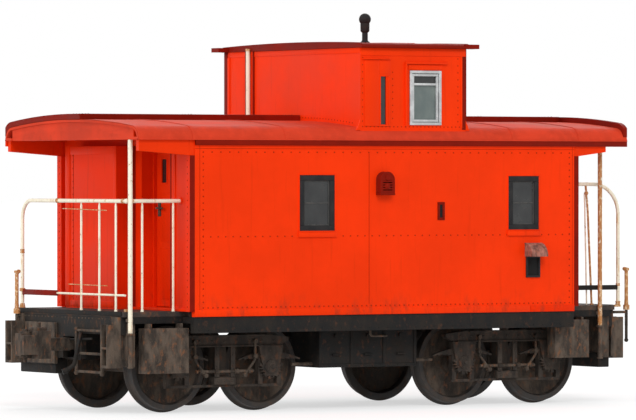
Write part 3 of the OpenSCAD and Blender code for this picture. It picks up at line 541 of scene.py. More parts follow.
def ease_edges(node, width=0.004):
    """Rounds the edges of a frame piece without touching its mesh."""
    obj = frame["nodes"][node]
    weld = obj.modifiers.new("join", "WELD")
    weld.merge_threshold = 0.0002
    soft = obj.modifiers.new("eased_edges", "BEVEL")
    soft.width = width
    soft.segments = 2
    soft.limit_method = "ANGLE"
    soft.angle_limit = math.radians(40)
    soft.harden_normals = False


def sides():
    """Near and far side: name, direction out, and the plane of the side sheet."""
    return (("near", -1.0, -HALF), ("far", 1.0, HALF))


# ---- Settings ----

class CabooseColours(bpy.types.PropertyGroup):
    """Colours of the caboose."""
    body: bpy.props.FloatVectorProperty(
        name="Body", description="Paint of the side sheets and the cupola",
        default=(0.86, 0.036, 0.002), subtype="COLOR", min=0, max=1)
    # Ends: the body red made darker as painted shade, since the end faces get less light than the sides.
    ends: bpy.props.FloatVectorProperty(
        name="Ends", description="Paint of the end walls, lockers and doors",
        default=(0.76, 0.026, 0.001), subtype="COLOR", min=0, max=1)
    roof: bpy.props.FloatVectorProperty(
        name="Roof", description="Bleached paint of the roofs",
        default=(0.58, 0.045, 0.018), subtype="COLOR", min=0, max=1)
    # Dark trim: the red as it looks in shade, painted onto lips, fascias, corner strips, roof edges and walk
    # boards that face away from the light.
    trim: bpy.props.FloatVectorProperty(
        name="Dark trim", description="Dark red of lips, fascias and roof edges",
        default=(0.19, 0.006, 0.002), subtype="COLOR", min=0, max=1)
    railing: bpy.props.FloatVectorProperty(
        name="Railings", description="Cream of the railings and poles",
        default=(0.83, 0.77, 0.61), subtype="COLOR", min=0, max=1)


class CabooseSizes(bpy.types.PropertyGroup):
    """Sizes of the small work on the caboose."""
    rivet: bpy.props.FloatProperty(
        name="Rivet head", description="Radius of a rivet head on the side sheets",
        default=0.009, min=0.004, max=0.016, unit="LENGTH")
    belt_gap: bpy.props.FloatProperty(
        name="Belt rivets", description="Distance between rivets of the belt row",
        default=0.093, min=0.04, max=0.2, unit="LENGTH")
    seam: bpy.props.FloatProperty(
        name="Roof seam", description="Width of a seam strap on a roof",
        default=0.045, min=0.02, max=0.1, unit="LENGTH")
    rail: bpy.props.FloatProperty(
        name="Rail pipe", description="Radius of a railing pipe",
        default=0.021, min=0.015, max=0.026, unit="LENGTH")


# ---- Operators ----

class CABOOSE_OT_finishes(bpy.types.Operator):
    """Make every finish and put it on the frame's own pieces"""
    bl_idname = "caboose.finishes"
    bl_label = "Finishes"

    def execute(self, context):
        FINISHES.update(make_finishes())
        slots = {row["node"]: row["material_slot"] for row in frame["record"]["subparts"]}
        for node, obj in frame["nodes"].items():
            # The cupola roof takes the dark trim red, which is painted shade.
            finish = FINISHES["trim_dark_red" if node == "cupola_roof" else slots[node]]
            if not obj.material_slots:
                obj.data.materials.append(finish)
            for held in obj.material_slots:
                held.material = finish
        for node in ("end_beams", "step_boxes", "battery_box", "corner_steps", "lockers",
                     "draft_pockets", "coupler_front", "coupler_rear", "truck_frames_front",
                     "truck_frames_rear", "truck_bolster_front", "truck_bolster_rear",
                     "roof_walk", "eaves", "floor_deck", "sills", "end_ladders"):
            ease_edges(node)
        return {"FINISHED"}


class CABOOSE_OT_side_sheets(bpy.types.Operator):
    """Rivet the side sheets and add their seams and sill strips"""
    bl_idname = "caboose.side_sheets"
    bl_label = "Side sheets"

    def execute(self, context):
        sizes = context.scene.caboose_sizes
        belt, top, low = 1.89, 2.79, 1.135
        left, right = -BODY_X + 0.105, BODY_X - 0.065
        for side, s, y in sides():
            bm = bmesh.new()
            heads(bm, row((left, y, belt), (right, y, belt), sizes.belt_gap)
                  + row((left, y, top), (right, y, top), 0.11)
                  + row((left, y, low), (right, y, low), 0.06)
                  + row((left, y, low + 0.06), (left, y, top - 0.05), 0.07)
                  + row((right, y, low + 0.06), (right, y, top - 0.05), 0.07),
                  (0, s, 0), sizes.rivet)
            # The rivet heads take the darker rivet red: painted shade.
            piece(f"side_rivets_{side}", bm, "carbody", "body_red", "rivet_shade_red")
            bm = bmesh.new()
            y0, y1 = y - s * 0.001, y + s * 0.0025
            block(bm, (-0.253, y0, low + 0.02), (-0.247, y1, top - 0.01), 0.001, 1)
            block(bm, (left - 0.045, y0, SILL_Z + 0.075), (left - 0.041, y1, EAVE_Z - 0.02), 0.001,
                  1)
            block(bm, (right + 0.038, y0, SILL_Z + 0.075), (right + 0.042, y1, EAVE_Z - 0.02),
                  0.001, 1)
            block(bm, (-BODY_X, y0, top + 0.035), (BODY_X, y1, top + 0.039), 0.001, 1)
            # The seam strips take the same darker red: painted shade along them.
            piece(f"side_seams_{side}", bm, "carbody", "body_red", "rivet_shade_red")
            bm = bmesh.new()
            y0, y1 = sorted((y - s * 0.002, y + s * 0.009))
            block(bm, (-BODY_X, y0, SILL_Z), (1.846, y1, SILL_Z + 0.075), 0.004)
            piece(f"sill_strip_{side}", bm, "carbody", "body_red")
            bm = bmesh.new()
            block(bm, (1.852, y0, SILL_Z),
                  (BODY_X, y1 - s * 0.002 if s > 0 else y1, SILL_Z + 0.073), 0.004)
            # This stretch of sill strip takes the end colour, the red with painted shade.
            piece(f"sill_joint_strip_{side}", bm, "carbody", "end_red")
        return {"FINISHED"}


class CABOOSE_OT_windows(bpy.types.Operator):
    """Frame and glaze the windows of the sides and of the cupola"""
    bl_idname = "caboose.windows"
    bl_label = "Windows"

    def execute(self, context):
        for side, s, y in sides():
            black, beads, trim, glass = (bmesh.new() for _ in range(4))
            for x, z, w, h in SIDE_WINDOWS:
                x0, x1, z0, z1 = x - w / 2, x + w / 2, z, z + h
                y0, y1 = y - s * 0.030, y + s * 0.006
                ring_of_blocks(black, x0 + 0.001, x1 - 0.001, z0 + 0.001, z1 - 0.001, 0.058, y0, y1,
                               0.005)
                b0, b1 = y - s * 0.022, y - s * 0.010
                ring_of_blocks(beads, x0 + 0.058, x1 - 0.058, z0 + 0.058, z1 - 0.058, 0.011, b0, b1,
                               0.003)
                block(beads, (x0 + 0.069, b0, (z0 + z1) / 2 - 0.006),
                      (x1 - 0.069, b1, (z0 + z1) / 2 + 0.006), 0.003)
                block(glass, (x0 + 0.050, y - s * 0.026, z0 + 0.050),
                      (x1 - 0.050, y - s * 0.020, z1 - 0.050), 0)
                t0, t1 = y - s * 0.001, y + s * 0.008
                ring_of_blocks(trim, x0 - 0.016, x1 + 0.016, z0 - 0.012, z1 + 0.016, 0.014, t0, t1,
                               0.003)
                block(trim, (x0 - 0.022, y - s * 0.001, z0 - 0.066),
                      (x1 + 0.022, y + s * 0.022, z0 - 0.013), 0.005)
            piece(f"window_frames_{side}", black, "carbody", "sash_black")
            piece(f"glazing_beads_{side}", beads, "carbody", "sash_black", "sash_line")
            piece(f"window_trims_{side}", trim, "carbody", "body_red")
            piece(f"side_glass_{side}", glass, "carbody", "glass",
                  replaces=("side_windows",) if side == "near" else ())
            self.cupola(side, s)
        return {"FINISHED"}

    def cupola(self, side, s):
        """The cupola's bare metal window, its slit and the trim round them."""
        y = s * CUPOLA_HI.y
        x, z, w, h = WIDE
        x0, x1, z0, z1 = x - w / 2, x + w / 2, z, z + h
        bar = z0 + h * 0.75
        metal, glass, pale, trim = (bmesh.new() for _ in range(4))
        m0, m1 = y - s * 0.030, y + s * 0.018
        ring_of_blocks(metal, x0 + 0.001, x1 - 0.001, z0 + 0.001, z1 - 0.001, 0.030, m0, m1, 0.004)
        m0, m1 = y - s * 0.026, y + s * 0.006
        ring_of_blocks(metal, x0 + 0.036, x1 - 0.036, z0 + 0.036, z1 - 0.036, 0.026, m0, m1, 0.004)
        block(metal, (x0 + 0.062, m0, bar - 0.012), (x1 - 0.062, m1, bar + 0.012), 0.003)
        heads(metal, [Vector((px, y + s * 0.018, pz)) for px in (x0 + 0.02, x, x1 - 0.02)
                      for pz in (z0 + 0.015, z1 - 0.015)], (0, s, 0), 0.006)
        g0, g1 = y - s * 0.028, y - s * 0.020
        block(glass, (x0 + 0.03, g0, bar), (x1 - 0.03, g1, z1 - 0.03), 0)
        block(pale, (x0 + 0.03, g0, z0 + 0.03), (x1 - 0.03, g1, bar), 0)
        e0, e1 = y - s * 0.001, y + s * 0.030
        block(trim, (x0 - 0.060, e0, z1 + 0.070), (x1 + 0.075, e1, z1 + 0.088), 0.004)
        block(trim, (x0 - 0.060, e0, z0 - 0.01), (x0 - 0.044, e1, z1 + 0.070), 0.004)
        e1 = y + s * 0.010
        block(trim, (x0 - 0.012, e0, z1 + 0.006), (x1 + 0.012, e1, z1 + 0.060), 0.003)
        sx, sz, sw, sh = SLIT
        ring_of_blocks(trim, sx - sw / 2 - 0.02, sx + sw / 2 + 0.045, sz - 0.02, sz + sh + 0.02,
                       0.019, e0, e1, 0.003)
        block(glass, (sx - sw / 2 + 0.001, y - s * 0.020, sz + 0.001),
              (sx + sw / 2 - 0.001, y - s * 0.012, sz + sh - 0.001), 0)
        piece(f"cupola_frame_{side}", metal, "carbody", "bare_aluminium")
        piece(f"cupola_glass_{side}", glass, "carbody", "glass")
        piece(f"cupola_lower_glass_{side}", pale, "carbody", "glass", "pale_glass",
              replaces=("cupola_windows", "window_glass") if side == "near" else ())
        piece(f"cupola_trims_{side}", trim, "carbody", "body_red")


class CABOOSE_OT_roofs(bpy.types.Operator):
    """Lay the curved roof sheets with their seams"""
    bl_idname = "caboose.roofs"
    bl_label = "Roofs"

    def execute(self, context):
        seam = context.scene.caboose_sizes.seam
        bm = bmesh.new()
        arch(bm, ROOF_LO.x, ROOF_HI.x, **MAIN_ARCH, lift=0.001, thick=0.004)
        piece("roof_sheet", bm, "carbody", "roof_red")
        bm = bmesh.new()
        for x in (-2.45, -1.30, 1.62, 2.50):
            arch(bm, x - seam / 2, x + seam / 2, **MAIN_ARCH, lift=0.007, thick=0.004)
        piece("roof_seams", bm, "carbody", "roof_red")
        bm = bmesh.new()
        ends = CUPOLA_LO.x - 0.018, CUPOLA_HI.x + 0.018
        arch(bm, *ends, **TOP_ARCH, lift=0.001, thick=0.004, crown_only=True)
        middle = sum(ends) / 2
        arch(bm, middle - 0.02, middle + 0.02, **TOP_ARCH, lift=0.006, thick=0.004, crown_only=True)
        piece("cupola_roof_sheet", bm, "carbody", "roof_red")
        return {"FINISHED"}


class CABOOSE_OT_wheels(bpy.types.Operator):
    """Turn the wheels and axles smooth"""
    bl_idname = "caboose.wheels"
    bl_label = "Wheels"

    def execute(self, context):
        back = 0.68
        web = [(0.073, -0.010), (0.118, -0.010), (0.127, 0.0), (0.134, 0.045), (0.19, 0.060),
               (0.30, 0.068), (0.385, 0.068), (0.385, 0.100), (0.372, 0.098), (0.30, 0.092),
               (0.19, 0.086), (0.138, 0.088), (0.126, 0.130), (0.120, 0.148), (0.113, 0.152),
               (0.073, 0.152)]
        tyre = [(0.380, 0.060), (0.388, 0.030), (0.392, 0.010), (0.400, 0.004), (0.470, 0.003),
                (0.479, 0.008), (0.483, 0.016), (0.480, 0.026), (0.468, 0.033), (0.459, 0.040),
                (0.456, 0.060), (0.453, 0.134), (0.447, 0.140), (0.399, 0.139), (0.392, 0.132),
                (0.386, 0.106), (0.380, 0.100)]
        for name in WHEELSETS:
            at = JOINTS[f"{name}_roll"]
            bm, webs = bmesh.new(), bmesh.new()
            for s in (-1, 1):
                turned(bm, tyre, at + Vector((0, s * back, 0)), (0, s, 0), 96)
                turned(webs, web, at + Vector((0, s * back, 0)), (0, s, 0), 96)
            for a, b, r in ((-0.80, 0.80, 0.075), (-1.046, 1.046, 0.058)):
                rod(webs, at + Vector((0, a, 0)), at + Vector((0, b, 0)), r, sides=40)
            piece(f"{name}_tyres", bm, name, "wheel_steel", replaces=(name,))
            piece(f"{name}_webs", webs, name, "wheel_steel", "cast_steel")
        return {"FINISHED"}


class CABOOSE_OT_front_railing(bpy.types.Operator):
    """Bend the front platform's railing and set its balusters"""
    bl_idname = "caboose.front_railing"
    bl_label = "Front railing"

    def execute(self, context):
        r = context.scene.caboose_sizes.rail
        x, y, z = -POST_X, POST_Y, RAIL_Z
        bm = bmesh.new()
        pipe(bm, [(-BODY_X, -y, z), (x - 0.012, -y, z)], r)
        pipe(bm, [(x, -y, z), (x, y, z), (x, y, FLOOR_Z)], r, 0.20, 20)
        ball(bm, (x, -y, z), r * 1.3)
        for spot in [(-BODY_X - d, -y) for d in SIDE_BALUSTERS] + [(x, s) for s in END_BALUSTERS]:
            rod(bm, (*spot, FLOOR_Z + 0.03), (*spot, z - 0.05), 0.0125)
            rod(bm, (*spot, z - 0.06), (*spot, z - 0.01), 0.0125, 0.006)
            rod(bm, (*spot, FLOOR_Z), (*spot, FLOOR_Z + 0.03), 0.019, 0.013)
        pipe(bm, [(x, 0.36, FLOOR_Z + 0.175), (x, -y + 0.03, FLOOR_Z + 0.175)], 0.012)
        piece("front_rail_pipes", bm, "carbody", "railing_cream", replaces=("railing_front",))
        bm = bmesh.new()
        for at, way in (((x, 0.342, z), (0, 1, 0)), ((x, -y + 0.06, z), (0, 1, 0)),
                        ((x, y, FLOOR_Z + 0.62), (0, 0, 1)), ((x + 0.05, -y, z), (1, 0, 0))):
            collar(bm, at, way, r * 1.12, 0.035)
        rod(bm, (x, y, FLOOR_Z), (x, y, FLOOR_Z + 0.05), 0.034, 0.026)
        rod(bm, (x, y, FLOOR_Z + 0.18), (x, y, FLOOR_Z + 0.215), 0.032)
        block(bm, (x - 0.022, -y - 0.022, FLOOR_Z), (x + 0.022, -y + 0.022, FLOOR_Z + 0.03))
        piece("front_rail_joints", bm, "carbody", "railing_cream", "rusted_cream")
        bm = bmesh.new()
        rod(bm, (-BODY_X - 0.010, -y, z), (-BODY_X, -y, z), 0.042, sides=24)
        heads(bm, [Vector((-BODY_X - 0.010, -y + 0.03 * math.cos(a), z + 0.03 * math.sin(a)))
                   for a in (0.8, 2.4, 3.9, 5.5)], (-1, 0, 0), 0.007)
        # The flange takes the end colour, the red with painted shade.
        piece("front_rail_flange", bm, "carbody", "end_red")
        bm = bmesh.new()
        rod(bm, (x - 0.02, -0.75, z - 0.10), (x - 0.02, 0.20, z - 0.085), 0.005)
        rod(bm, (x + 0.02, -0.70, FLOOR_Z + 0.27), (x + 0.02, 0.15, FLOOR_Z + 0.275), 0.005)
        piece("front_chain_rods", bm, "carbody", "railing_cream", "rusted_cream")
        bm = bmesh.new()
        block(bm, (x - 0.012, 0.36, FLOOR_Z + 0.145), (x + 0.012, y, FLOOR_Z + 0.205), 0.003)
        # The drop bar takes the dark trim red: painted shade.
        piece("front_drop_bar", bm, "carbody", "trim_dark_red")
        return {"FINISHED"}


class CABOOSE_OT_rear_hoops(bpy.types.Operator):
    """Bend the rear platform's hoop rails and their slanted rods"""
    bl_idname = "caboose.rear_hoops"
    bl_label = "Rear hoops"

    def execute(self, context):
        r = context.scene.caboose_sizes.rail
        cream, rusty, bars = bmesh.new(), bmesh.new(), bmesh.new()
        for s, x0, rod_x in ((-1, BODY_X, BODY_X + 0.40), (1, BODY_X + 0.2, BODY_X + 0.42)):
            y = s * (POST_Y - 0.06)
            x, z = DECK_X + 0.12, FLOOR_Z + 1.35
            pipe(cream, [(x0, y, z), (x, y, z), (x, y, FLOOR_Z)], r, 0.33, 20)
            rod(cream, (x0, y, z), (x0 + 0.009, y, z), 0.042, sides=24)
            low = Vector((rod_x + 0.11, y - s * 0.04, FLOOR_Z + 0.004))
            pipe(rusty, [(rod_x, y, z), (rod_x + 0.03, y, z - 0.30), low], 0.0125, 0.25)
            rod(cream, (rod_x - 0.005, y - s * 0.012, z - 0.10),
                low + Vector((-0.06, -s * 0.01, 0)), 0.009)
            ball(rusty, (rod_x + 0.01, y, z - 0.10), 0.024)
            rod(rusty, low - Vector((0, 0, 0.003)), low + Vector((0, 0, 0.012)), 0.022)
            collar(rusty, (x, y, FLOOR_Z + 0.02), (0, 0, 1), r * 1.25, 0.03)
            collar(rusty, (x, y, FLOOR_Z + 0.225), (0, 0, 1), r * 1.1, 0.02)
            block(bars, (x0, y + s * 0.002, FLOOR_Z + 0.168), (x, y + s * 0.0145, FLOOR_Z + 0.222),
                  0.003)
            block(rusty, (DECK_X, y - 0.028, FLOOR_Z - 0.024), (x + 0.025, y + 0.028, FLOOR_Z),
                  0.004)
        piece("hoop_pipes", cream, "carbody", "railing_cream", replaces=("railing_rear",))
        piece("hoop_rods", rusty, "carbody", "railing_cream", "rusted_cream")
        piece("hoop_flat_rails", bars, "carbody", "underframe_black")
        return {"FINISHED"}


class CABOOSE_OT_poles(bpy.types.Operator):
    """Stand the platform poles with their collars and clips"""
    bl_idname = "caboose.poles"
    bl_label = "Poles"

    def execute(self, context):
        near, far, low = bmesh.new(), bmesh.new(), bmesh.new()
        for bm, x, y in ((near, -POST_X, -POLE_Y), (far, BODY_X + 0.5, -POLE_Y),
                         (far, POST_X, POLE_Y)):
            top = EAVE_Z - 0.001 if abs(x) == POST_X else roof_under(POLE_Y, MAIN_ARCH,
                                                                     0.03) - 0.002
            rod(bm, (x, y, 0.86), (x, y, top), 0.025, sides=24)
            rod(low, (x, y, 0.50), (x, y, 0.86), 0.0255, sides=24)
            rod(low, (x, y, 0.852), (x, y, 0.872), 0.046, sides=24)
            rod(low, (x, y, 0.845), (x, y, 0.851), 0.036, sides=24)
            rod(low, (x, y, 0.50), (x, y, 0.515), 0.032, sides=24)
            s = 1 if y > 0 else -1
            block(low, (x - 0.04, y - s * 0.002, SILL_Z - 0.05),
                  (x + 0.04, s * DECK_Y, SILL_Z - 0.015), 0.003)
            rod(bm, (x, y, top - 0.14), (x, y, top), 0.0262, sides=24)
        piece("front_pole", near, "carbody", "railing_cream", replaces=("platform_poles",))
        piece("rear_poles", far, "carbody", "railing_cream", "rusted_cream")
        piece("pole_feet", low, "carbody", "rusty_steel")
        return {"FINISHED"}


class CABOOSE_OT_levers(bpy.types.Operator):
    """Shape the brake levers and their threaded stems"""
    bl_idname = "caboose.levers"
    bl_label = "Brake levers"

    def execute(self, context):
        y, z = POST_Y - 0.11, FLOOR_Z
        levers, stems = bmesh.new(), bmesh.new()
        for s, reach, deep in ((-1, 0.07, 0.25), (1, 0.27, 0.40)):
            x, py = s * (DECK_X + reach), -s * y
            pipe(levers, [(x, py, z - 0.01), (x, py, z + 0.37), (x - s * 0.012, py, z + 0.40),
                          (x - s * 0.012, py + s * 0.03, z + 0.40)], 0.021, 0.008)
            rod(levers, (x, py, z - 0.02), (x, py, z + 0.05), 0.026, 0.022)
            rod(levers, (x, py, z - 0.06), (x, py, z - 0.005), 0.036, sides=6)
            rod(levers, (x, py - 0.03, z + 0.395), (x, py + 0.03, z + 0.395), 0.019)
            rod(stems, (x, py, z - deep), (x, py, z - 0.055), 0.017)
            for i in range(9):
                at = z - 0.08 - i * 0.018
                rod(stems, (x, py, at - 0.003), (x, py, at + 0.003), 0.0195)
            rod(stems, (s * DECK_X, py, z - 0.085), (x, py, z - 0.085), 0.016)
            ball(stems, (x, py, z - deep), 0.024)
        piece("brake_lever_pair", levers, "carbody", "railing_cream", "rusted_cream",
              replaces=("brake_levers",))
        piece("lever_stems", stems, "carbody", "rusty_steel")
        return {"FINISHED"}


class CABOOSE_OT_end_walls(bpy.types.Operator):
    """Panel, rivet and trim the end walls and their lockers"""
    bl_idname = "caboose.end_walls"
    bl_label = "End walls"

    def execute(self, context):
        rivets, trims, dark = bmesh.new(), bmesh.new(), bmesh.new()
        for s in (-1, 1):
            x, lx = s * BODY_X, s * (BODY_X + 0.2)
            near, far, low, high = LOCKER_LO.y, LOCKER_HI.y, FLOOR_Z, LOCKER_HI.z
            heads(rivets, row((lx, near + 0.05, high - 0.05), (lx, far - 0.05, high - 0.05), 0.09)
                  + row((lx, near + 0.05, low + 0.12), (lx, far - 0.05, low + 0.12), 0.09)
                  + row((lx, far - 0.16, low + 0.18), (lx, far - 0.16, high - 0.10), 0.07)
                  + row((lx, near + 0.03, low + 0.18), (lx, near + 0.03, high - 0.10), 0.11)
                  + row((s * (BODY_X + 0.06), -1.40, low + 0.05),
                        (s * (BODY_X + 0.06), -1.40, 2.70), 0.07)
                  + row((s * (BODY_X + 0.06), 1.40, low + 0.05),
                        (s * (BODY_X + 0.06), 1.40, 2.70), 0.07), (s, 0, 0), 0.008)
            for y0, y1 in ((near, near + 0.062), (far - 0.10, far)):
                block(trims, (lx - s * 0.002, y0, low + 0.02), (lx + s * 0.009, y1, high), 0.003)
            x0, x1 = lx - s * 0.002, lx + s * 0.006
            block(trims, (x0, near + 0.062, low + 0.02), (x1, far - 0.10, low + 0.085), 0.003)
            block(trims, (x0, near + 0.062, high - 0.09), (x1, far - 0.10, high), 0.003)
            x0, x1 = x - s * 0.002, x + s * 0.010
            for y0, y1 in ((-1.345, -1.32), (-1.05, -1.022)):
                block(trims, (x0, y0, low + 0.03), (x1, y1, EAVE_Z - 0.02), 0.003)
            block(trims, (x0, -1.32, low), (x1, -1.05, low + 0.05), 0.003)
            block(trims, (x, -1.35, low), (x + s * 0.05, LOCKER_LO.y - 0.01, low + 0.03), 0.004)
            # Dark strips: a seam line on the locker face, and painted shade on the body corners, the locker's side
            # face and the sides of the door recess.
            block(dark, (lx - s * 0.001, far - 0.175, low + 0.09),
                  (lx + s * 0.0025, far - 0.170, high - 0.09), 0.001, 1)
            x0, x1 = x - s * 0.001, x + s * 0.0605
            for y in (-1.4505, 1.4485):
                block(dark, (x0, y, low), (x1, y + 0.002, EAVE_Z - 0.165), 0.0008, 1)
            block(dark, (min(lx, x), far - 0.001, low), (max(lx, x), far + 0.001, high), 0.0008, 1)
            x0, x1 = x - s * 0.001, x + s * 0.004
            block(dark, (x0, -0.958, low + 0.02), (x1, -0.94, 2.86), 0.001, 1)
            block(dark, (x0, LOCKER_LO.y - 0.06, low + 0.02),
                  (x1, LOCKER_LO.y - 0.004, EAVE_Z - 0.06), 0.001, 1)
        # The rivets take the darker rivet red and the trims the end colour: both hold painted shade.
        piece("end_rivets", rivets, "carbody", "end_red", "rivet_shade_red")
        piece("end_trims", trims, "carbody", "end_red")
        piece("end_shade_strips", dark, "carbody", "trim_dark_red")
        return {"FINISHED"}


class CABOOSE_OT_doors(bpy.types.Operator):
    """Glaze and panel the end doors"""
    bl_idname = "caboose.doors"
    bl_label = "Doors"

    def execute(self, context):
        for s, body in ((-1, "door_front"), (1, "door_rear")):
            frames, glass, metal = bmesh.new(), bmesh.new(), bmesh.new()
            x, out = s * (BODY_X - 0.18), s
            y, z = -0.955, FLOOR_Z + 0.035
            for y0 in (y + 0.09, y + 0.40):
                x0, x1 = x - s * 0.010, x + s * 0.007
                span = (y0 - 0.012, y0 + 0.122, z + 1.318, z + 1.602)
                for lo, hi in (((span[0], span[2]), (span[0] + 0.016, span[3])),
                               ((span[1] - 0.016, span[2]), (span[1], span[3])),
                               ((span[0] + 0.016, span[2]), (span[1] - 0.016, span[2] + 0.016)),
                               ((span[0] + 0.016, span[3] - 0.016), (span[1] - 0.016, span[3]))):
                    block(frames, (x0, *lo), (x1, *hi), 0.003)
                block(glass, (x - s * 0.018, y0 - 0.001, z + 1.329),
                      (x - s * 0.012, y0 + 0.111, z + 1.591), 0)
            x0, x1 = x - s * 0.002, x + s * 0.006
            for z0, z1 in ((z + 0.08, z + 0.62), (z + 0.70, z + 1.22)):
                block(frames, (x0, y + 0.09, z0), (x1, y + 0.51, z1), 0.005)
            heads(frames, row((x, y + 0.035, z + 0.06), (x, y + 0.035, z + 1.68), 0.12)
                  + row((x, y + 0.575, z + 0.06), (x, y + 0.575, z + 1.68), 0.12), (s, 0, 0), 0.007)
            hx, hy, hz = x + s * 0.05, y + 0.556, FLOOR_Z + 0.03 + 0.005 + 1.06
            block(metal, (x - s * 0.002, hy - 0.030, hz - 0.09),
                  (x + s * 0.008, hy + 0.030, hz + 0.09), 0.004)
            pipe(metal, [(x, hy, hz), (hx, hy, hz), (hx, hy - 0.13, hz)], 0.0108, 0.012)
            ball(metal, (hx, hy - 0.13, hz), 0.013)
            # Door frames in the end colour, which holds painted shade.
            piece(f"{body}_frames", frames, body, "end_red")
            piece(f"{body}_glass", glass, body, "glass")
            piece(f"{body}_handle", metal, body, "end_red", "rusty_steel")
        return {"FINISHED"}


class CABOOSE_OT_fittings(bpy.types.Operator):
    """Marker lamps, vents, slots and small work on the side sheets"""
    bl_idname = "caboose.fittings"
    bl_label = "Side fittings"

    def execute(self, context):
        lamp, lens, hood, frame_bm, hole, slot = (bmesh.new() for _ in range(6))
        for side, s, y in sides():
            at = Vector((LAMP_AT[0], y, LAMP_AT[1]))
            x0, x1 = at.x - 0.085, at.x + 0.085
            for d, r in ((0.091, 0.008), (0.060, 0.006), (0.030, 0.006), (0.006, 0.009)):
                py = y + s * d
                pipe(lamp, [(x0, py, at.z), (x0, py, at.z + 0.235), (x1, py, at.z + 0.235),
                            (x1, py, at.z)], r, 0.083, 10)
            block(lamp, (x0 - 0.010, y + s * 0.001, at.z - 0.012),
                  (x1 + 0.010, y + s * 0.100, at.z + 0.010), 0.005)
            block(lens, (at.x - 0.060, y + s * 0.030, at.z + 0.02),
                  (at.x + 0.060, y + s * 0.034, at.z + 0.150), 0.001)
            for i in range(5):
                y0, y1 = y + s * 0.072, y + s * 0.096
                block(lamp, (x0 + 0.012, y0, at.z + 0.022 + i * 0.027),
                      (x1 - 0.012, y1, at.z + 0.040 + i * 0.027), 0.004)
            rod(lamp, (at.x, y + s * 0.095, at.z + 0.18), (at.x, y + s * 0.104, at.z + 0.18), 0.030)
            v = Vector((VENT_AT[0], y, VENT_AT[1]))
            turned(hood, [(0.152, -0.106), (0.152, -0.102), (0.150, -0.100), (0.150, 0.100),
                          (0.152, 0.102), (0.152, 0.106), (0.138, 0.106), (0.138, -0.106)],
                   v + Vector((0, 0, 0.23)), (1, 0, 0), 64)
            turned(hood, [(0.001, -0.103), (0.148, -0.103), (0.148, -0.096), (0.001, -0.096)],
                   v + Vector((0, 0, 0.23)), (1, 0, 0), 64)
            turned(hood, [(0.001, 0.096), (0.148, 0.096), (0.148, 0.103), (0.001, 0.103)],
                   v + Vector((0, 0, 0.23)), (1, 0, 0), 64)
            y0, y1 = y + s * 0.001, y + s * 0.020
            ring_of_blocks(frame_bm, v.x - 0.092, v.x + 0.092, v.z, v.z + 0.235, 0.022, y0, y1,
                           0.004)
            # A near-black sheet in the opening: painted shade.
            block(hole, (v.x - 0.075, y + s * 0.001, v.z + 0.015),
                  (v.x + 0.075, y + s * 0.006, v.z + 0.22), 0)
            y0, y1 = y + s * 0.001, y + s * 0.010
            ring_of_blocks(slot, 0.630, 0.722, 2.056, 2.252, 0.028, y0, y1, 0.003)
            heads(slot, [Vector((px, y + s * 0.010, pz)) for px in (0.645, 0.707)
                         for pz in (2.07, 2.155, 2.238)], (0, s, 0), 0.005)
            block(hole, (0.655, y + s * 0.0005, 2.08), (0.70, y + s * 0.004, 2.23), 0)
        bmesh.ops.bisect_plane(hood, geom=hood.verts[:] + hood.edges[:] + hood.faces[:],
                               plane_co=(0, 0, VENT_AT[1] + 0.2305), plane_no=(0, 0, -1),
                               clear_outer=True)
        inside = [v for v in hood.verts if abs(v.co.y) < HALF]
        bmesh.ops.delete(hood, geom=inside, context="VERTS")
        # Lamp ribs and slot frames take the dark trim red, and the lamp backs and openings a near black: all
        # painted shade.
        piece("lamp_ribs", lamp, "carbody", "trim_dark_red")
        piece("lamp_backs_painted_shade", lens, "carbody", "trim_dark_red", "dark_inside")
        piece("vent_covers", hood, "carbody", "hood_rust", replaces=("vent_hoods",))
        piece("vent_frames", frame_bm, "carbody", "sash_black")
        piece("openings_painted_shade", hole, "carbody", "sash_black", "dark_inside")
        piece("slot_frames", slot, "carbody", "trim_dark_red")
        return {"FINISHED"}


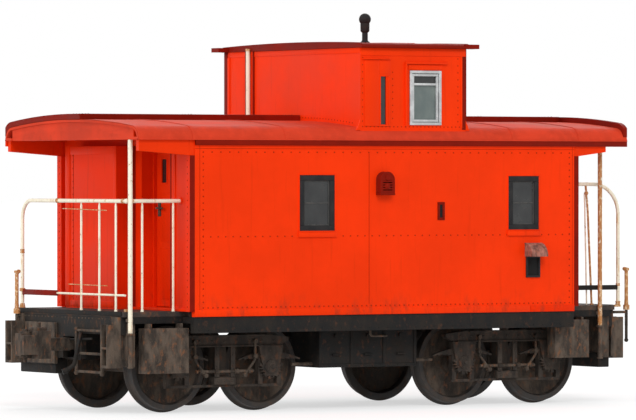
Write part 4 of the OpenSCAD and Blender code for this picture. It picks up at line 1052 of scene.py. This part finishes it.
class CABOOSE_OT_roof_edges(bpy.types.Operator):
    """Dark fascias, edge strips, the roof walk's planks and the cupola's small work"""
    bl_idname = "caboose.roof_edges"
    bl_label = "Roof edges"

    def execute(self, context):
        # The fascias and the cupola's arch lips take the dark trim red: painted shade.
        dark, planks = bmesh.new(), bmesh.new()
        for s in (-1, 1):
            y0, y1 = s * (ROOF_HI.y - 0.018), s * (ROOF_HI.y + 0.004)
            lo, hi = (-BODY_X, ROOF_HI.x) if s < 0 else (-ROOF_HI.x, BODY_X)
            block(dark, (lo, y0, EAVE_Z - 0.058), (hi, y1, EAVE_Z - 0.002), 0.004)
            block(planks, (-ROOF_HI.x, s * (ROOF_HI.y - 0.03), EAVE_Z - 0.002),
                  (ROOF_HI.x, s * (ROOF_HI.y + 0.010), EAVE_Z + 0.012), 0.004)
        for x in (CUPOLA_LO.x - 0.021, CUPOLA_HI.x + 0.001):
            arch(dark, x, x + 0.02, **TOP_ARCH, lift=0.006, thick=0.02)
        roots = bmesh.new()
        for sx in (-1, 1):
            for sy in (-1, 1):
                x0, x1 = sx * BODY_X, sx * (BODY_X + 0.062)
                block(roots, (x0, sy * 1.384, EAVE_Z - 0.167), (x1, sy * 1.446, EAVE_Z - 0.001),
                      0.003)
        boards = bmesh.new()
        for s in (-1, 1):
            x, half = s * (ROOF_HI.x - 0.021), ROOF_HI.y - 0.135
            crown = [-half + 2 * half * i / 24 for i in range(25)]
            plate(boards, [(x, -half, EAVE_Z + 0.001)]
                  + [(x, y, roof_under(y, MAIN_ARCH, 0.014)) for y in crown]
                  + [(x, half, EAVE_Z + 0.001)], (s, 0, 0), 0.004)
        piece("arch_boards", boards, "carbody", "roof_red")
        piece("beam_roots", roots, "carbody", "trim_red")
        piece("fascias_in_painted_shade", dark, "carbody", "trim_dark_red")
        piece("eave_drips", planks, "carbody", "roof_red")
        self.walk()
        self.cupola()
        return {"FINISHED"}

    def walk(self):
        bm, bright = bmesh.new(), bmesh.new()
        ridge = ROOF_HI.z
        for x0, x1 in ((-ROOF_HI.x + 0.05, CUPOLA_LO.x - 0.01),
                       (CUPOLA_HI.x + 0.01, ROOF_HI.x - 0.05)):
            for i in range(3):
                y0 = -0.2 + i * 0.1383
                block(bright, (x0, y0 + 0.004, ridge + 0.030), (x1, y0 + 0.119, ridge + 0.0615),
                      0.003)
            for x in (x0 + 0.08, (x0 + x1) / 2, x1 - 0.08):
                heads(bm, [Vector((x, y, ridge + 0.0615))
                           for y in (-0.16, -0.1, -0.03, 0.03, 0.1, 0.16)],
                      (0, 0, 1), 0.008)
        # The walk boards take the dark trim red: painted shade.
        piece("walk_boards", bright, "carbody", "trim_dark_red")
        piece("walk_bolts", bm, "carbody", "rusty_steel")

    def cupola(self):
        rivets, bright, dark, cream, lines = (bmesh.new() for _ in range(5))
        top, low = CUPOLA_HI.z, EAVE_Z + 0.12
        for side, s, _ in sides():
            y = s * CUPOLA_HI.y
            left, right = CUPOLA_LO.x, CUPOLA_HI.x
            heads(rivets, row((left + 0.03, y, top - 0.045), (right - 0.03, y, top - 0.045), 0.05)
                  + row((left + 0.03, y, low + 0.03), (right - 0.03, y, low + 0.03), 0.05)
                  + row((left + 0.03, y, low + 0.09), (left + 0.03, y, top - 0.11), 0.08)
                  + row((right - 0.10, y, low + 0.09), (right - 0.10, y, top - 0.11), 0.08)
                  + row((0.065, y, low + 0.12), (0.065, y, low + 0.62), 0.07), (0, s, 0), 0.0075)
            y0, y1 = y - s * 0.001, y + s * 0.008
            for lo, hi in (((left + 0.05, low + 0.04), (0.035, SLIT[1] - 0.02)),
                           ((left + 0.05, SLIT[1] - 0.02), (SLIT[0] - 0.055, top - 0.13)),
                           ((SLIT[0] - 0.055, SLIT[1] + SLIT[3] + 0.02), (0.035, top - 0.13))):
                block(bright, (lo[0], y0, lo[1]), (hi[0], y1, hi[1]), 0.003)
            block(bright, (left, y0, top - 0.085), (right, y1, top - 0.001), 0.003)
            block(bright, (right - 0.065, y0, low + 0.02), (right - 0.045, y1, top - 0.085), 0.003)
            block(bright, (left + 0.02, y - s * 0.001, top - 0.128),
                  (0.03, y + s * 0.026, top - 0.116), 0.003)
            # Dark strip at the corner of the cupola side: painted shade.
            block(dark, (right - 0.045, y - s * 0.001, low),
                  (right - 0.001, y + s * 0.003, top - 0.086), 0.001, 1)
            for x, out in ((left, -1), (right, 1)):
                back = y - s * 0.02
                plate(bright, [(x, back, low + 0.10), (x + out * 0.05, back, low - 0.01),
                               (x, back, low - 0.01)], (0, s, 0), 0.024)
        for s in (-1, 1):
            x = CUPOLA_LO.x if s < 0 else CUPOLA_HI.x
            half = CUPOLA_HI.y
            n = 46
            spots = []
            for i in range(n + 1):
                y = -half + 0.04 + (2 * half - 0.08) * i / n
                spots.append(Vector((x, y, top - 0.035)))
                if abs(y) < 1.3:
                    spots.append(Vector((x, y, roof_under(y, MAIN_ARCH, 0) + 0.035)))
            heads(rivets, spots, (s, 0, 0), 0.0075)
            far = -s * half
            heads(rivets, row((x, far + s * 0.09, 3.15), (x, far + s * 0.09, top - 0.1), 0.08),
                  (s, 0, 0), 0.0075)
            x0, x1 = sorted((x - s * 0.001, x + s * 0.012))
            # Dark strip at the far corner of each cupola end: painted shade.
            block(dark, (x0, far, 3.06), (x1, far + s * 0.07, top - 0.001), 0.002)
            block(bright, (x0, far + s * 0.07, 3.08), (x1 - 0.002, far + s * 0.115, top - 0.06),
                  0.003)
            block(bright, (x - s * 0.001, -half, top - 0.06), (x + s * 0.006, half, top - 0.001),
                  0.003)
            base = roof_under(CUPOLA_POLE_Y, MAIN_ARCH, 0)
            # Two dark strips beside the pole: painted shade.
            for y in (-s * 0.95, -s * 0.79):
                block(dark, (x - s * 0.001, y - 0.008, base + 0.01),
                      (x + s * 0.02, y + 0.008, top - 0.001), 0.003)
            y = -s * CUPOLA_POLE_Y
            rod(cream, (x + s * 0.032, y, base - 0.01), (x + s * 0.032, y, top + 0.02), 0.024,
                sides=24)
            rod(cream, (x + s * 0.032, y, base - 0.01), (x + s * 0.032, y, base + 0.035), 0.042,
                0.026, 24)
            rod(lines, (x + s * 0.032, y, top + 0.005), (x + s * 0.032, y, top + 0.03), 0.029,
                sides=24)
            block(lines, (x, y - 0.10, base - 0.012), (x + s * 0.06, y + 0.04, base + 0.012), 0.003)
        # Cupola rivets in the darker rivet red: painted shade.
        piece("cupola_rivets", rivets, "carbody", "body_red", "rivet_shade_red")
        piece("cupola_panels", bright, "carbody", "body_red")
        piece("cupola_shade_strips", dark, "carbody", "trim_dark_red")
        piece("cupola_poles", cream, "carbody", "railing_cream")
        piece("cupola_pole_feet", lines, "carbody", "railing_cream", "rusted_cream")
        jack = bmesh.new()
        base = roof_under(-0.445, TOP_ARCH, 0)
        profile = [(0.001, -0.02), (0.068, -0.02), (0.064, 0.004), (0.050, 0.016), (0.036, 0.026),
                   (0.032, 0.040), (0.032, 0.118), (0.044, 0.128), (0.050, 0.138), (0.051, 0.215),
                   (0.048, 0.226), (0.040, 0.229), (0.001, 0.229)]
        turned(jack, profile, (0.33, -0.445, base), (0, 0, 1), 40, closed=False)
        bmesh.ops.create_uvsphere(jack, u_segments=36, v_segments=20, radius=0.066,
                                  matrix=Matrix.Translation((0.33, -0.445, base + 0.265)))
        piece("smoke_jack_turned", jack, "carbody", "jack_black", replaces=("smoke_jack",))


class CABOOSE_OT_end_frames(bpy.types.Operator):
    """Rivet the end beams and boxes and hang the plates and ladders"""
    bl_idname = "caboose.end_frames"
    bl_label = "End frames"

    def execute(self, context):
        rivets, rusty, black = bmesh.new(), bmesh.new(), bmesh.new()

        def front_rivets(bm):
            x = -DECK_X
            heads(bm, row((x, -1.11, 1.015), (x, 1.11, 1.015), 0.075)
                  + row((x, -1.11, 0.875), (x, -0.32, 0.875), 0.075)
                  + row((x, 0.32, 0.875), (x, 1.11, 0.875), 0.075)
                  + row((x, -1.11, 0.94), (x, -1.11, 0.96), 0.05), (-1, 0, 0), 0.009)
            for b in ((-2.95, -2.42, 0.44, 0.92), (-2.74, -2.28, 0.52, 0.94)):
                y = -1.30 if b[0] < -2.9 else 1.30
                s = -1 if y < 0 else 1
                heads(bm, row((b[0] + 0.03, y, b[3] - 0.03), (b[1] - 0.03, y, b[3] - 0.03), 0.055)
                      + row((b[0] + 0.03, y, b[2] + 0.03), (b[1] - 0.03, y, b[2] + 0.03), 0.055)
                      + row((b[0] + 0.03, y, b[2] + 0.09), (b[0] + 0.03, y, b[3] - 0.09), 0.055)
                      + row((b[1] - 0.03, y, b[2] + 0.09), (b[1] - 0.03, y, b[3] - 0.09), 0.055),
                      (0, s, 0), 0.007)

        def plates(bm):
            x = -DECK_X
            block(bm, (x - 0.030, 0.24, 0.51), (x - 0.002, 0.93, 0.955), 0.006)
            block(bm, (x - 0.042, 0.24, 0.51), (x - 0.028, 0.29, 0.95), 0.004)
            heads(bm, row((x - 0.030, 0.35, 0.92), (x - 0.030, 0.88, 0.92), 0.09)
                  + row((x - 0.030, 0.35, 0.54), (x - 0.030, 0.88, 0.54), 0.09), (-1, 0, 0), 0.008)
            for y in (-0.79, -0.23):
                rod(bm, (x - 0.035, y, 0.43), (x - 0.035, y, 0.90), 0.0175)
                ball(bm, (x - 0.035, y, 0.43), 0.026)
                ball(bm, (x - 0.035, y, 0.90), 0.024)
            for z in (0.445, 0.64, 0.885):
                rod(bm, (x - 0.035, -0.79, z), (x - 0.035, -0.23, z), 0.0145)

        def boxes(bm):
            x = -DECK_X
            block(bm, (x - 0.012, -1.15, FLOOR_Z - 0.045), (x + 0.01, 1.15, FLOOR_Z + 0.004), 0.004)
            block(bm, (x + 0.02, 0.33, 0.40), (x + 0.17, 1.12, 0.56), 0.010)
            block(bm, (x - 0.02, 0.36, 0.50), (x + 0.05, 1.13, 0.525), 0.004)
            rod(bm, (x - 0.02, -0.55, 0.80), (x - 0.02, -0.05, 0.78), 0.012)
            pipe(bm, [(x - 0.03, -0.32, 0.86), (x - 0.06, -0.32, 0.74), (x - 0.10, -0.30, 0.52),
                      (x - 0.16, -0.26, 0.46)], 0.022, 0.04)
            rod(bm, (x - 0.16, -0.26, 0.46), (x - 0.21, -0.24, 0.44), 0.030)

        both_turns(rivets, front_rivets)
        both_turns(rusty, plates)
        both_turns(black, boxes)
        piece("end_beam_rivets", rivets, "carbody", "rusty_steel")
        piece("hung_plates", rusty, "carbody", "rusty_steel")
        piece("hoses_and_boxes", black, "carbody", "underframe_black")
        return {"FINISHED"}


class CABOOSE_OT_underframe(bpy.types.Operator):
    """Pipes, valves, rods and rivets under the floor"""
    bl_idname = "caboose.underframe"
    bl_label = "Underframe"

    def execute(self, context):
        pipes, boxes = bmesh.new(), bmesh.new()
        for s in (-1, 1):
            y = s * 1.27
            if s < 0:
                for x in (-0.55, -0.12, 0.38, 0.80):
                    collar(pipes, (x, y, PIPE_Z), (1, 0, 0), 0.031, 0.05)
                pipe(pipes, [(-0.12, y, PIPE_Z), (-0.12, y, 0.80), (0.10, y, 0.80),
                             (0.10, y + 0.12, 0.80)], 0.013, 0.03)
                ball(pipes, (0.38, y, PIPE_Z), 0.045, (1, 1, 1.1))
                rod(pipes, (0.38, y, PIPE_Z), (0.38, y, 0.99), 0.014)
                rod(pipes, (0.34, y, 0.99), (0.42, y, 0.99), 0.010)
            heads(boxes, row((-BODY_X + 0.06, s * (HALF - 0.006), 0.90),
                             (BODY_X - 0.06, s * (HALF - 0.006), 0.90), 0.12), (0, s, 0), 0.009)
        ring_of_blocks(boxes, -0.69, 0.56, 0.46, 0.896, 0.035, BOX_Y, BOX_Y + 0.009, 0.003)
        for x in (-0.275, 0.145):
            block(boxes, (x - 0.018, BOX_Y, 0.495), (x + 0.018, BOX_Y + 0.009, 0.861), 0.003)
        heads(boxes, row((-0.67, BOX_Y, 0.478), (0.54, BOX_Y, 0.478), 0.11)
              + row((-0.67, BOX_Y, 0.878), (0.54, BOX_Y, 0.878), 0.11), (0, -1, 0), 0.008)
        for x in (-0.48, -0.07, 0.35):
            rod(boxes, (x - 0.05, -1.15, 0.60), (x + 0.05, -1.15, 0.60), 0.010)
            rod(boxes, (x, -1.135, 0.80), (x, -1.155, 0.80), 0.022)
        block(boxes, (-2.9, -0.02, 0.846), (2.9, 0.02, 0.87), 0)
        rod(pipes, (-0.95, -0.98, 0.50), (-0.69, -0.98, 0.50), 0.018)
        rod(pipes, (0.56, -0.98, 0.52), (0.86, -0.98, 0.52), 0.018)
        for x in (-0.5, 0.5):
            turned(boxes, [(0.001, -0.03), (0.10, -0.028), (0.160, -0.012), (0.172, 0.004),
                           (0.172, 0.02), (0.001, 0.02)],
                   (x, 0.85, 0.70), (-1 if x > 0 else 1, 0, 0), 40, closed=False)
        piece("train_pipes", pipes, "carbody", "underframe_black", "rusty_steel")
        piece("underframe_small_work", boxes, "carbody", "underframe_black")
        return {"FINISHED"}


class CABOOSE_OT_trucks(bpy.types.Operator):
    """Journal lids, bolts, hangers and rods of the trucks"""
    bl_idname = "caboose.trucks"
    bl_label = "Trucks"

    def execute(self, context):
        for sign, body in ((-1, "truck_front"), (1, "truck_rear")):
            cast, rods = bmesh.new(), bmesh.new()
            for s in (-1, 1):
                face = s * (FRAME_Y + 0.072)
                for a in (-AXLE_OUT, AXLE_OUT):
                    x, z = sign * TRUCK_X + a, AXLE_Z
                    turned(cast, [(0.001, 0.040), (0.018, 0.040), (0.024, 0.034), (0.026, 0.024),
                                  (0.042, 0.022), (0.046, 0.016), (0.060, 0.015), (0.064, 0.010),
                                  (0.074, 0.009), (0.078, 0.0), (0.001, -0.004)],
                           (x, face, z), (0, s, 0), 40, closed=False)
                    heads(cast, [Vector((x + LID_BOLTS * math.cos(t), face + s * 0.010,
                                         z + LID_BOLTS * math.sin(t)))
                                 for t in (0.78, 2.36, 3.93, 5.50)], (0, s, 0), 0.009)
                    self.pedestal(cast, x, s, z)
                    self.hanger(rods, x, s, 1 if a < 0 else -1)
                self.beam(cast, sign * TRUCK_X, s)
                y = s * (FRAME_Y + 0.052)
                pipe(rods, [(sign * TRUCK_X - 0.36, y, 0.44), (sign * TRUCK_X + 0.36, y, 0.44)],
                     0.017)
                for x in (-0.30, -0.10, 0.14, 0.31):
                    collar(rods, (sign * TRUCK_X + x, y, 0.44), (1, 0, 0), 0.026, 0.04)
            piece(f"{body}_castings", cast, body, "truck_steel")
            piece(f"{body}_rods", rods, body, "truck_steel", "rusty_steel")
        return {"FINISHED"}

    def pedestal(self, bm, x, s, z):
        """A U-shaped strap round a journal box, with its bolts."""
        y = s * (FRAME_Y + 0.047)
        n = 12
        turns = [math.pi * i / n for i in range(n + 1)]
        outer = [(x - STRAP_OUT * math.cos(t), z + 0.02 - STRAP_OUT * math.sin(t)) for t in turns]
        inner = [(x + STRAP_IN * math.cos(t), z + 0.02 - STRAP_IN * math.sin(t)) for t in turns]
        outline = [(x - STRAP_OUT, 0.71), *outer, (x + STRAP_OUT, 0.71), (x + STRAP_IN, 0.71),
                   *inner, (x - STRAP_IN, 0.71)]
        plate(bm, [(px, y, pz) for px, pz in outline], (0, s, 0), 0.022)
        heads(bm, [Vector((x + dx, y + s * 0.022, pz)) for dx in (-0.131, 0.131)
                   for pz in (0.69, 0.60, 0.51)], (0, s, 0), 0.012)

    def hanger(self, bm, x, s, way):
        """A brake hanger that swings past a wheel, with its pins."""
        y = s * (FRAME_Y + 0.062)
        pipe(bm, [(x + way * 0.20, y, 0.76), (x + way * 0.20, y, 0.56), (x + way * 0.29, y, 0.45),
                  (x + way * 0.33, y, 0.40)], 0.014, 0.07)
        for px, pz in ((0.20, 0.76), (0.20, 0.60), (0.33, 0.40)):
            rod(bm, (x + way * px, y - s * 0.03, pz), (x + way * px, y + s * 0.022, pz), 0.024)

    def beam(self, bm, x, s):
        """Flanges and bolts of a side frame's top beam."""
        y = s * (FRAME_Y + 0.045)
        y0, y1 = y - s * 0.004, y + s * 0.018
        block(bm, (x - 0.50, y0, 0.812), (x + 0.50, y1, 0.832), 0.004)
        block(bm, (x - 0.66, y0, 0.703), (x + 0.66, y1, 0.722), 0.004)
        heads(bm, row((x - 0.62, y, 0.765), (x + 0.62, y, 0.765), 0.155), (0, s, 0), 0.016)
        for dx in (-0.10, 0.10):
            block(bm, (x + dx - 0.028, y0, 0.38), (x + dx + 0.028, y1, 0.71), 0.005)
        block(bm, (x - 0.135, y0, 0.30), (x + 0.135, y1, 0.375), 0.006)
        heads(bm, [Vector((x + dx, y + s * 0.018, pz)) for dx in (-0.10, 0.10)
                   for pz in (0.40, 0.50, 0.62, 0.69)]
              + [Vector((x + dx, y + s * 0.018, 0.337)) for dx in (-0.09, 0.0, 0.09)], (0, s, 0),
              0.013)


class CABOOSE_OT_couplers(bpy.types.Operator):
    """Add the couplers' pins and lifting gear"""
    bl_idname = "caboose.couplers"
    bl_label = "Couplers"

    def execute(self, context):
        for s, body in ((-1, "coupler_front"), (1, "coupler_rear")):
            bm = bmesh.new()
            x, y, z = s * (DECK_X + 0.51), s * -0.045, 0.73
            rod(bm, (x, y, z - 0.19), (x, y, z + 0.16), 0.0185)
            rod(bm, (x, y, z + 0.14), (x, y, z + 0.165), 0.036, sides=6)
            x0, x1 = s * (DECK_X + 0.02), s * (DECK_X + 0.30)
            block(bm, (x0, -0.072, z + 0.055), (x1, 0.072, z + 0.068), 0.006)
            block(bm, (x0, -0.072, z - 0.068), (x1, 0.072, z - 0.055), 0.006)
            block(bm, (s * (DECK_X + 0.31), -0.085, z + 0.145),
                  (s * (DECK_X + 0.45), 0.085, z + 0.185), 0.012)
            rod(bm, (s * (DECK_X + 0.37), 0, z + 0.18), (s * (DECK_X + 0.37), 0, z + 0.235), 0.022)
            piece(f"{body}_pins", bm, body, "cast_steel")
        return {"FINISHED"}


class CABOOSE_OT_stage(bpy.types.Operator):
    """Set the floor, the studio light and the camera"""
    bl_idname = "caboose.stage"
    bl_label = "Stage"

    def execute(self, context):
        scene = context.scene
        scene.view_settings.view_transform = "Standard"
        floor = Finish("studio_floor")
        path = floor.node("ShaderNodeLightPath")
        seen = [Value(floor, path.socket.node.outputs[n])
                for n in ("Is Camera Ray", "Is Glossy Ray", "Is Transmission Ray")]
        eye = floor.node("ShaderNodeMath", {"operation": "MAXIMUM"}, {
            0: seen[0], 1: floor.node("ShaderNodeMath", {"operation": "MAXIMUM"},
                                      {0: seen[1], 1: seen[2]})})
        matt = floor.node("ShaderNodeBsdfDiffuse", inputs={"Color": (0.80, 0.80, 0.80, 1)})
        bright = floor.node("ShaderNodeEmission", inputs={"Color": (1, 1, 1, 1), "Strength": 1.35})
        shown = floor.node("ShaderNodeMixShader", inputs={0: 0.45, 1: matt, 2: bright})
        both = floor.node("ShaderNodeMixShader", inputs={0: eye, 1: matt, 2: shown})
        floor.node("ShaderNodeOutputMaterial", inputs={"Surface": both})
        bm = bmesh.new()
        bmesh.ops.create_grid(bm, x_segments=1, y_segments=1, size=400)
        mesh = bpy.data.meshes.new("studio_floor")
        bm.to_mesh(mesh)
        bm.free()
        mesh.materials.append(floor.material)
        ground = bpy.data.objects.new("studio_floor", mesh)
        scene.collection.objects.link(ground)
        self.light(scene)
        self.camera(scene)
        return {"FINISHED"}

    def light(self, scene):
        world = bpy.data.worlds.new("studio")
        scene.world = world
        world.use_nodes = True
        tree = world.node_tree
        tree.nodes.clear()
        path = tree.nodes.new("ShaderNodeLightPath")
        most = [tree.nodes.new("ShaderNodeMath") for _ in range(2)]
        for node in most:
            node.operation = "MAXIMUM"
        tree.links.new(path.outputs["Is Camera Ray"], most[0].inputs[0])
        tree.links.new(path.outputs["Is Glossy Ray"], most[0].inputs[1])
        tree.links.new(most[0].outputs[0], most[1].inputs[0])
        tree.links.new(path.outputs["Is Transmission Ray"], most[1].inputs[1])
        mix = tree.nodes.new("ShaderNodeMixShader")
        for i, strength in ((1, 0.62), (2, 1.0)):
            glow = tree.nodes.new("ShaderNodeBackground")
            glow.inputs["Strength"].default_value = strength
            glow.inputs["Color"].default_value = (1, 1, 1, 1)
            tree.links.new(glow.outputs[0], mix.inputs[i])
        tree.links.new(most[1].outputs[0], mix.inputs[0])
        out = tree.nodes.new("ShaderNodeOutputWorld")
        tree.links.new(mix.outputs[0], out.inputs[0])
        for name, way, power, spread in (("key_light", (-0.35, -1.0, 0.75), 1.25, 22),
                                         ("end_light", (-1.0, -0.12, 0.30), 1.10, 30),
                                         ("fill_light", (0.8, 0.9, 0.9), 0.7, 40)):
            lamp = bpy.data.lights.new(name, "SUN")
            lamp.energy = power
            lamp.angle = math.radians(spread)
            holder = bpy.data.objects.new(name, lamp)
            holder.rotation_mode = "QUATERNION"
            holder.rotation_quaternion = Vector(way).to_track_quat("Z", "Y")
            holder.location = Vector(way) * 20
            scene.collection.objects.link(holder)

    def camera(self, scene):
        turn, tilt = math.radians(31.7146), math.radians(-0.3446)
        ahead = Vector((math.sin(turn) * math.cos(tilt), math.cos(turn) * math.cos(tilt),
                        math.sin(tilt)))
        lens = bpy.data.cameras.new("camera")
        lens.sensor_width = 36.0
        lens.lens = 307.0
        lens.clip_end = 900.0
        eye = bpy.data.objects.new("camera", lens)
        eye.location = (-31.544, -51.04, 2.521)
        eye.rotation_mode = "QUATERNION"
        eye.rotation_quaternion = ahead.to_track_quat("-Z", "Y")
        scene.collection.objects.link(eye)
        scene.camera = eye


OPERATORS = (CABOOSE_OT_finishes, CABOOSE_OT_side_sheets, CABOOSE_OT_windows, CABOOSE_OT_roofs,
             CABOOSE_OT_roof_edges, CABOOSE_OT_end_walls, CABOOSE_OT_doors, CABOOSE_OT_fittings,
             CABOOSE_OT_front_railing, CABOOSE_OT_rear_hoops, CABOOSE_OT_poles,
             CABOOSE_OT_levers, CABOOSE_OT_end_frames, CABOOSE_OT_underframe,
             CABOOSE_OT_trucks, CABOOSE_OT_couplers, CABOOSE_OT_wheels, CABOOSE_OT_stage)


class CABOOSE_PT_panel(bpy.types.Panel):
    """Sizes, colours and steps of the caboose"""
    bl_idname = "CABOOSE_PT_panel"
    bl_label = "Caboose"
    bl_space_type = "VIEW_3D"
    bl_region_type = "UI"
    bl_category = "Caboose"

    def draw(self, context):
        for group in (context.scene.caboose_sizes, context.scene.caboose_colours):
            for name in group.__annotations__:
                self.layout.prop(group, name)
        for operator in OPERATORS:
            self.layout.operator(operator.bl_idname)


CLASSES = (CabooseColours, CabooseSizes, *OPERATORS, CABOOSE_PT_panel)


def register():
    for cls in CLASSES:
        bpy.utils.register_class(cls)
    bpy.types.Scene.caboose_colours = bpy.props.PointerProperty(type=CabooseColours)
    bpy.types.Scene.caboose_sizes = bpy.props.PointerProperty(type=CabooseSizes)


def unregister():
    del bpy.types.Scene.caboose_sizes
    del bpy.types.Scene.caboose_colours
    for cls in reversed(CLASSES):
        bpy.utils.unregister_class(cls)


def main():
    """Builds every piece in order."""
    register()
    for operator in OPERATORS:
        group, name = operator.bl_idname.split(".")
        getattr(getattr(bpy.ops, group), name)()


if __name__ == "__main__":
    main()
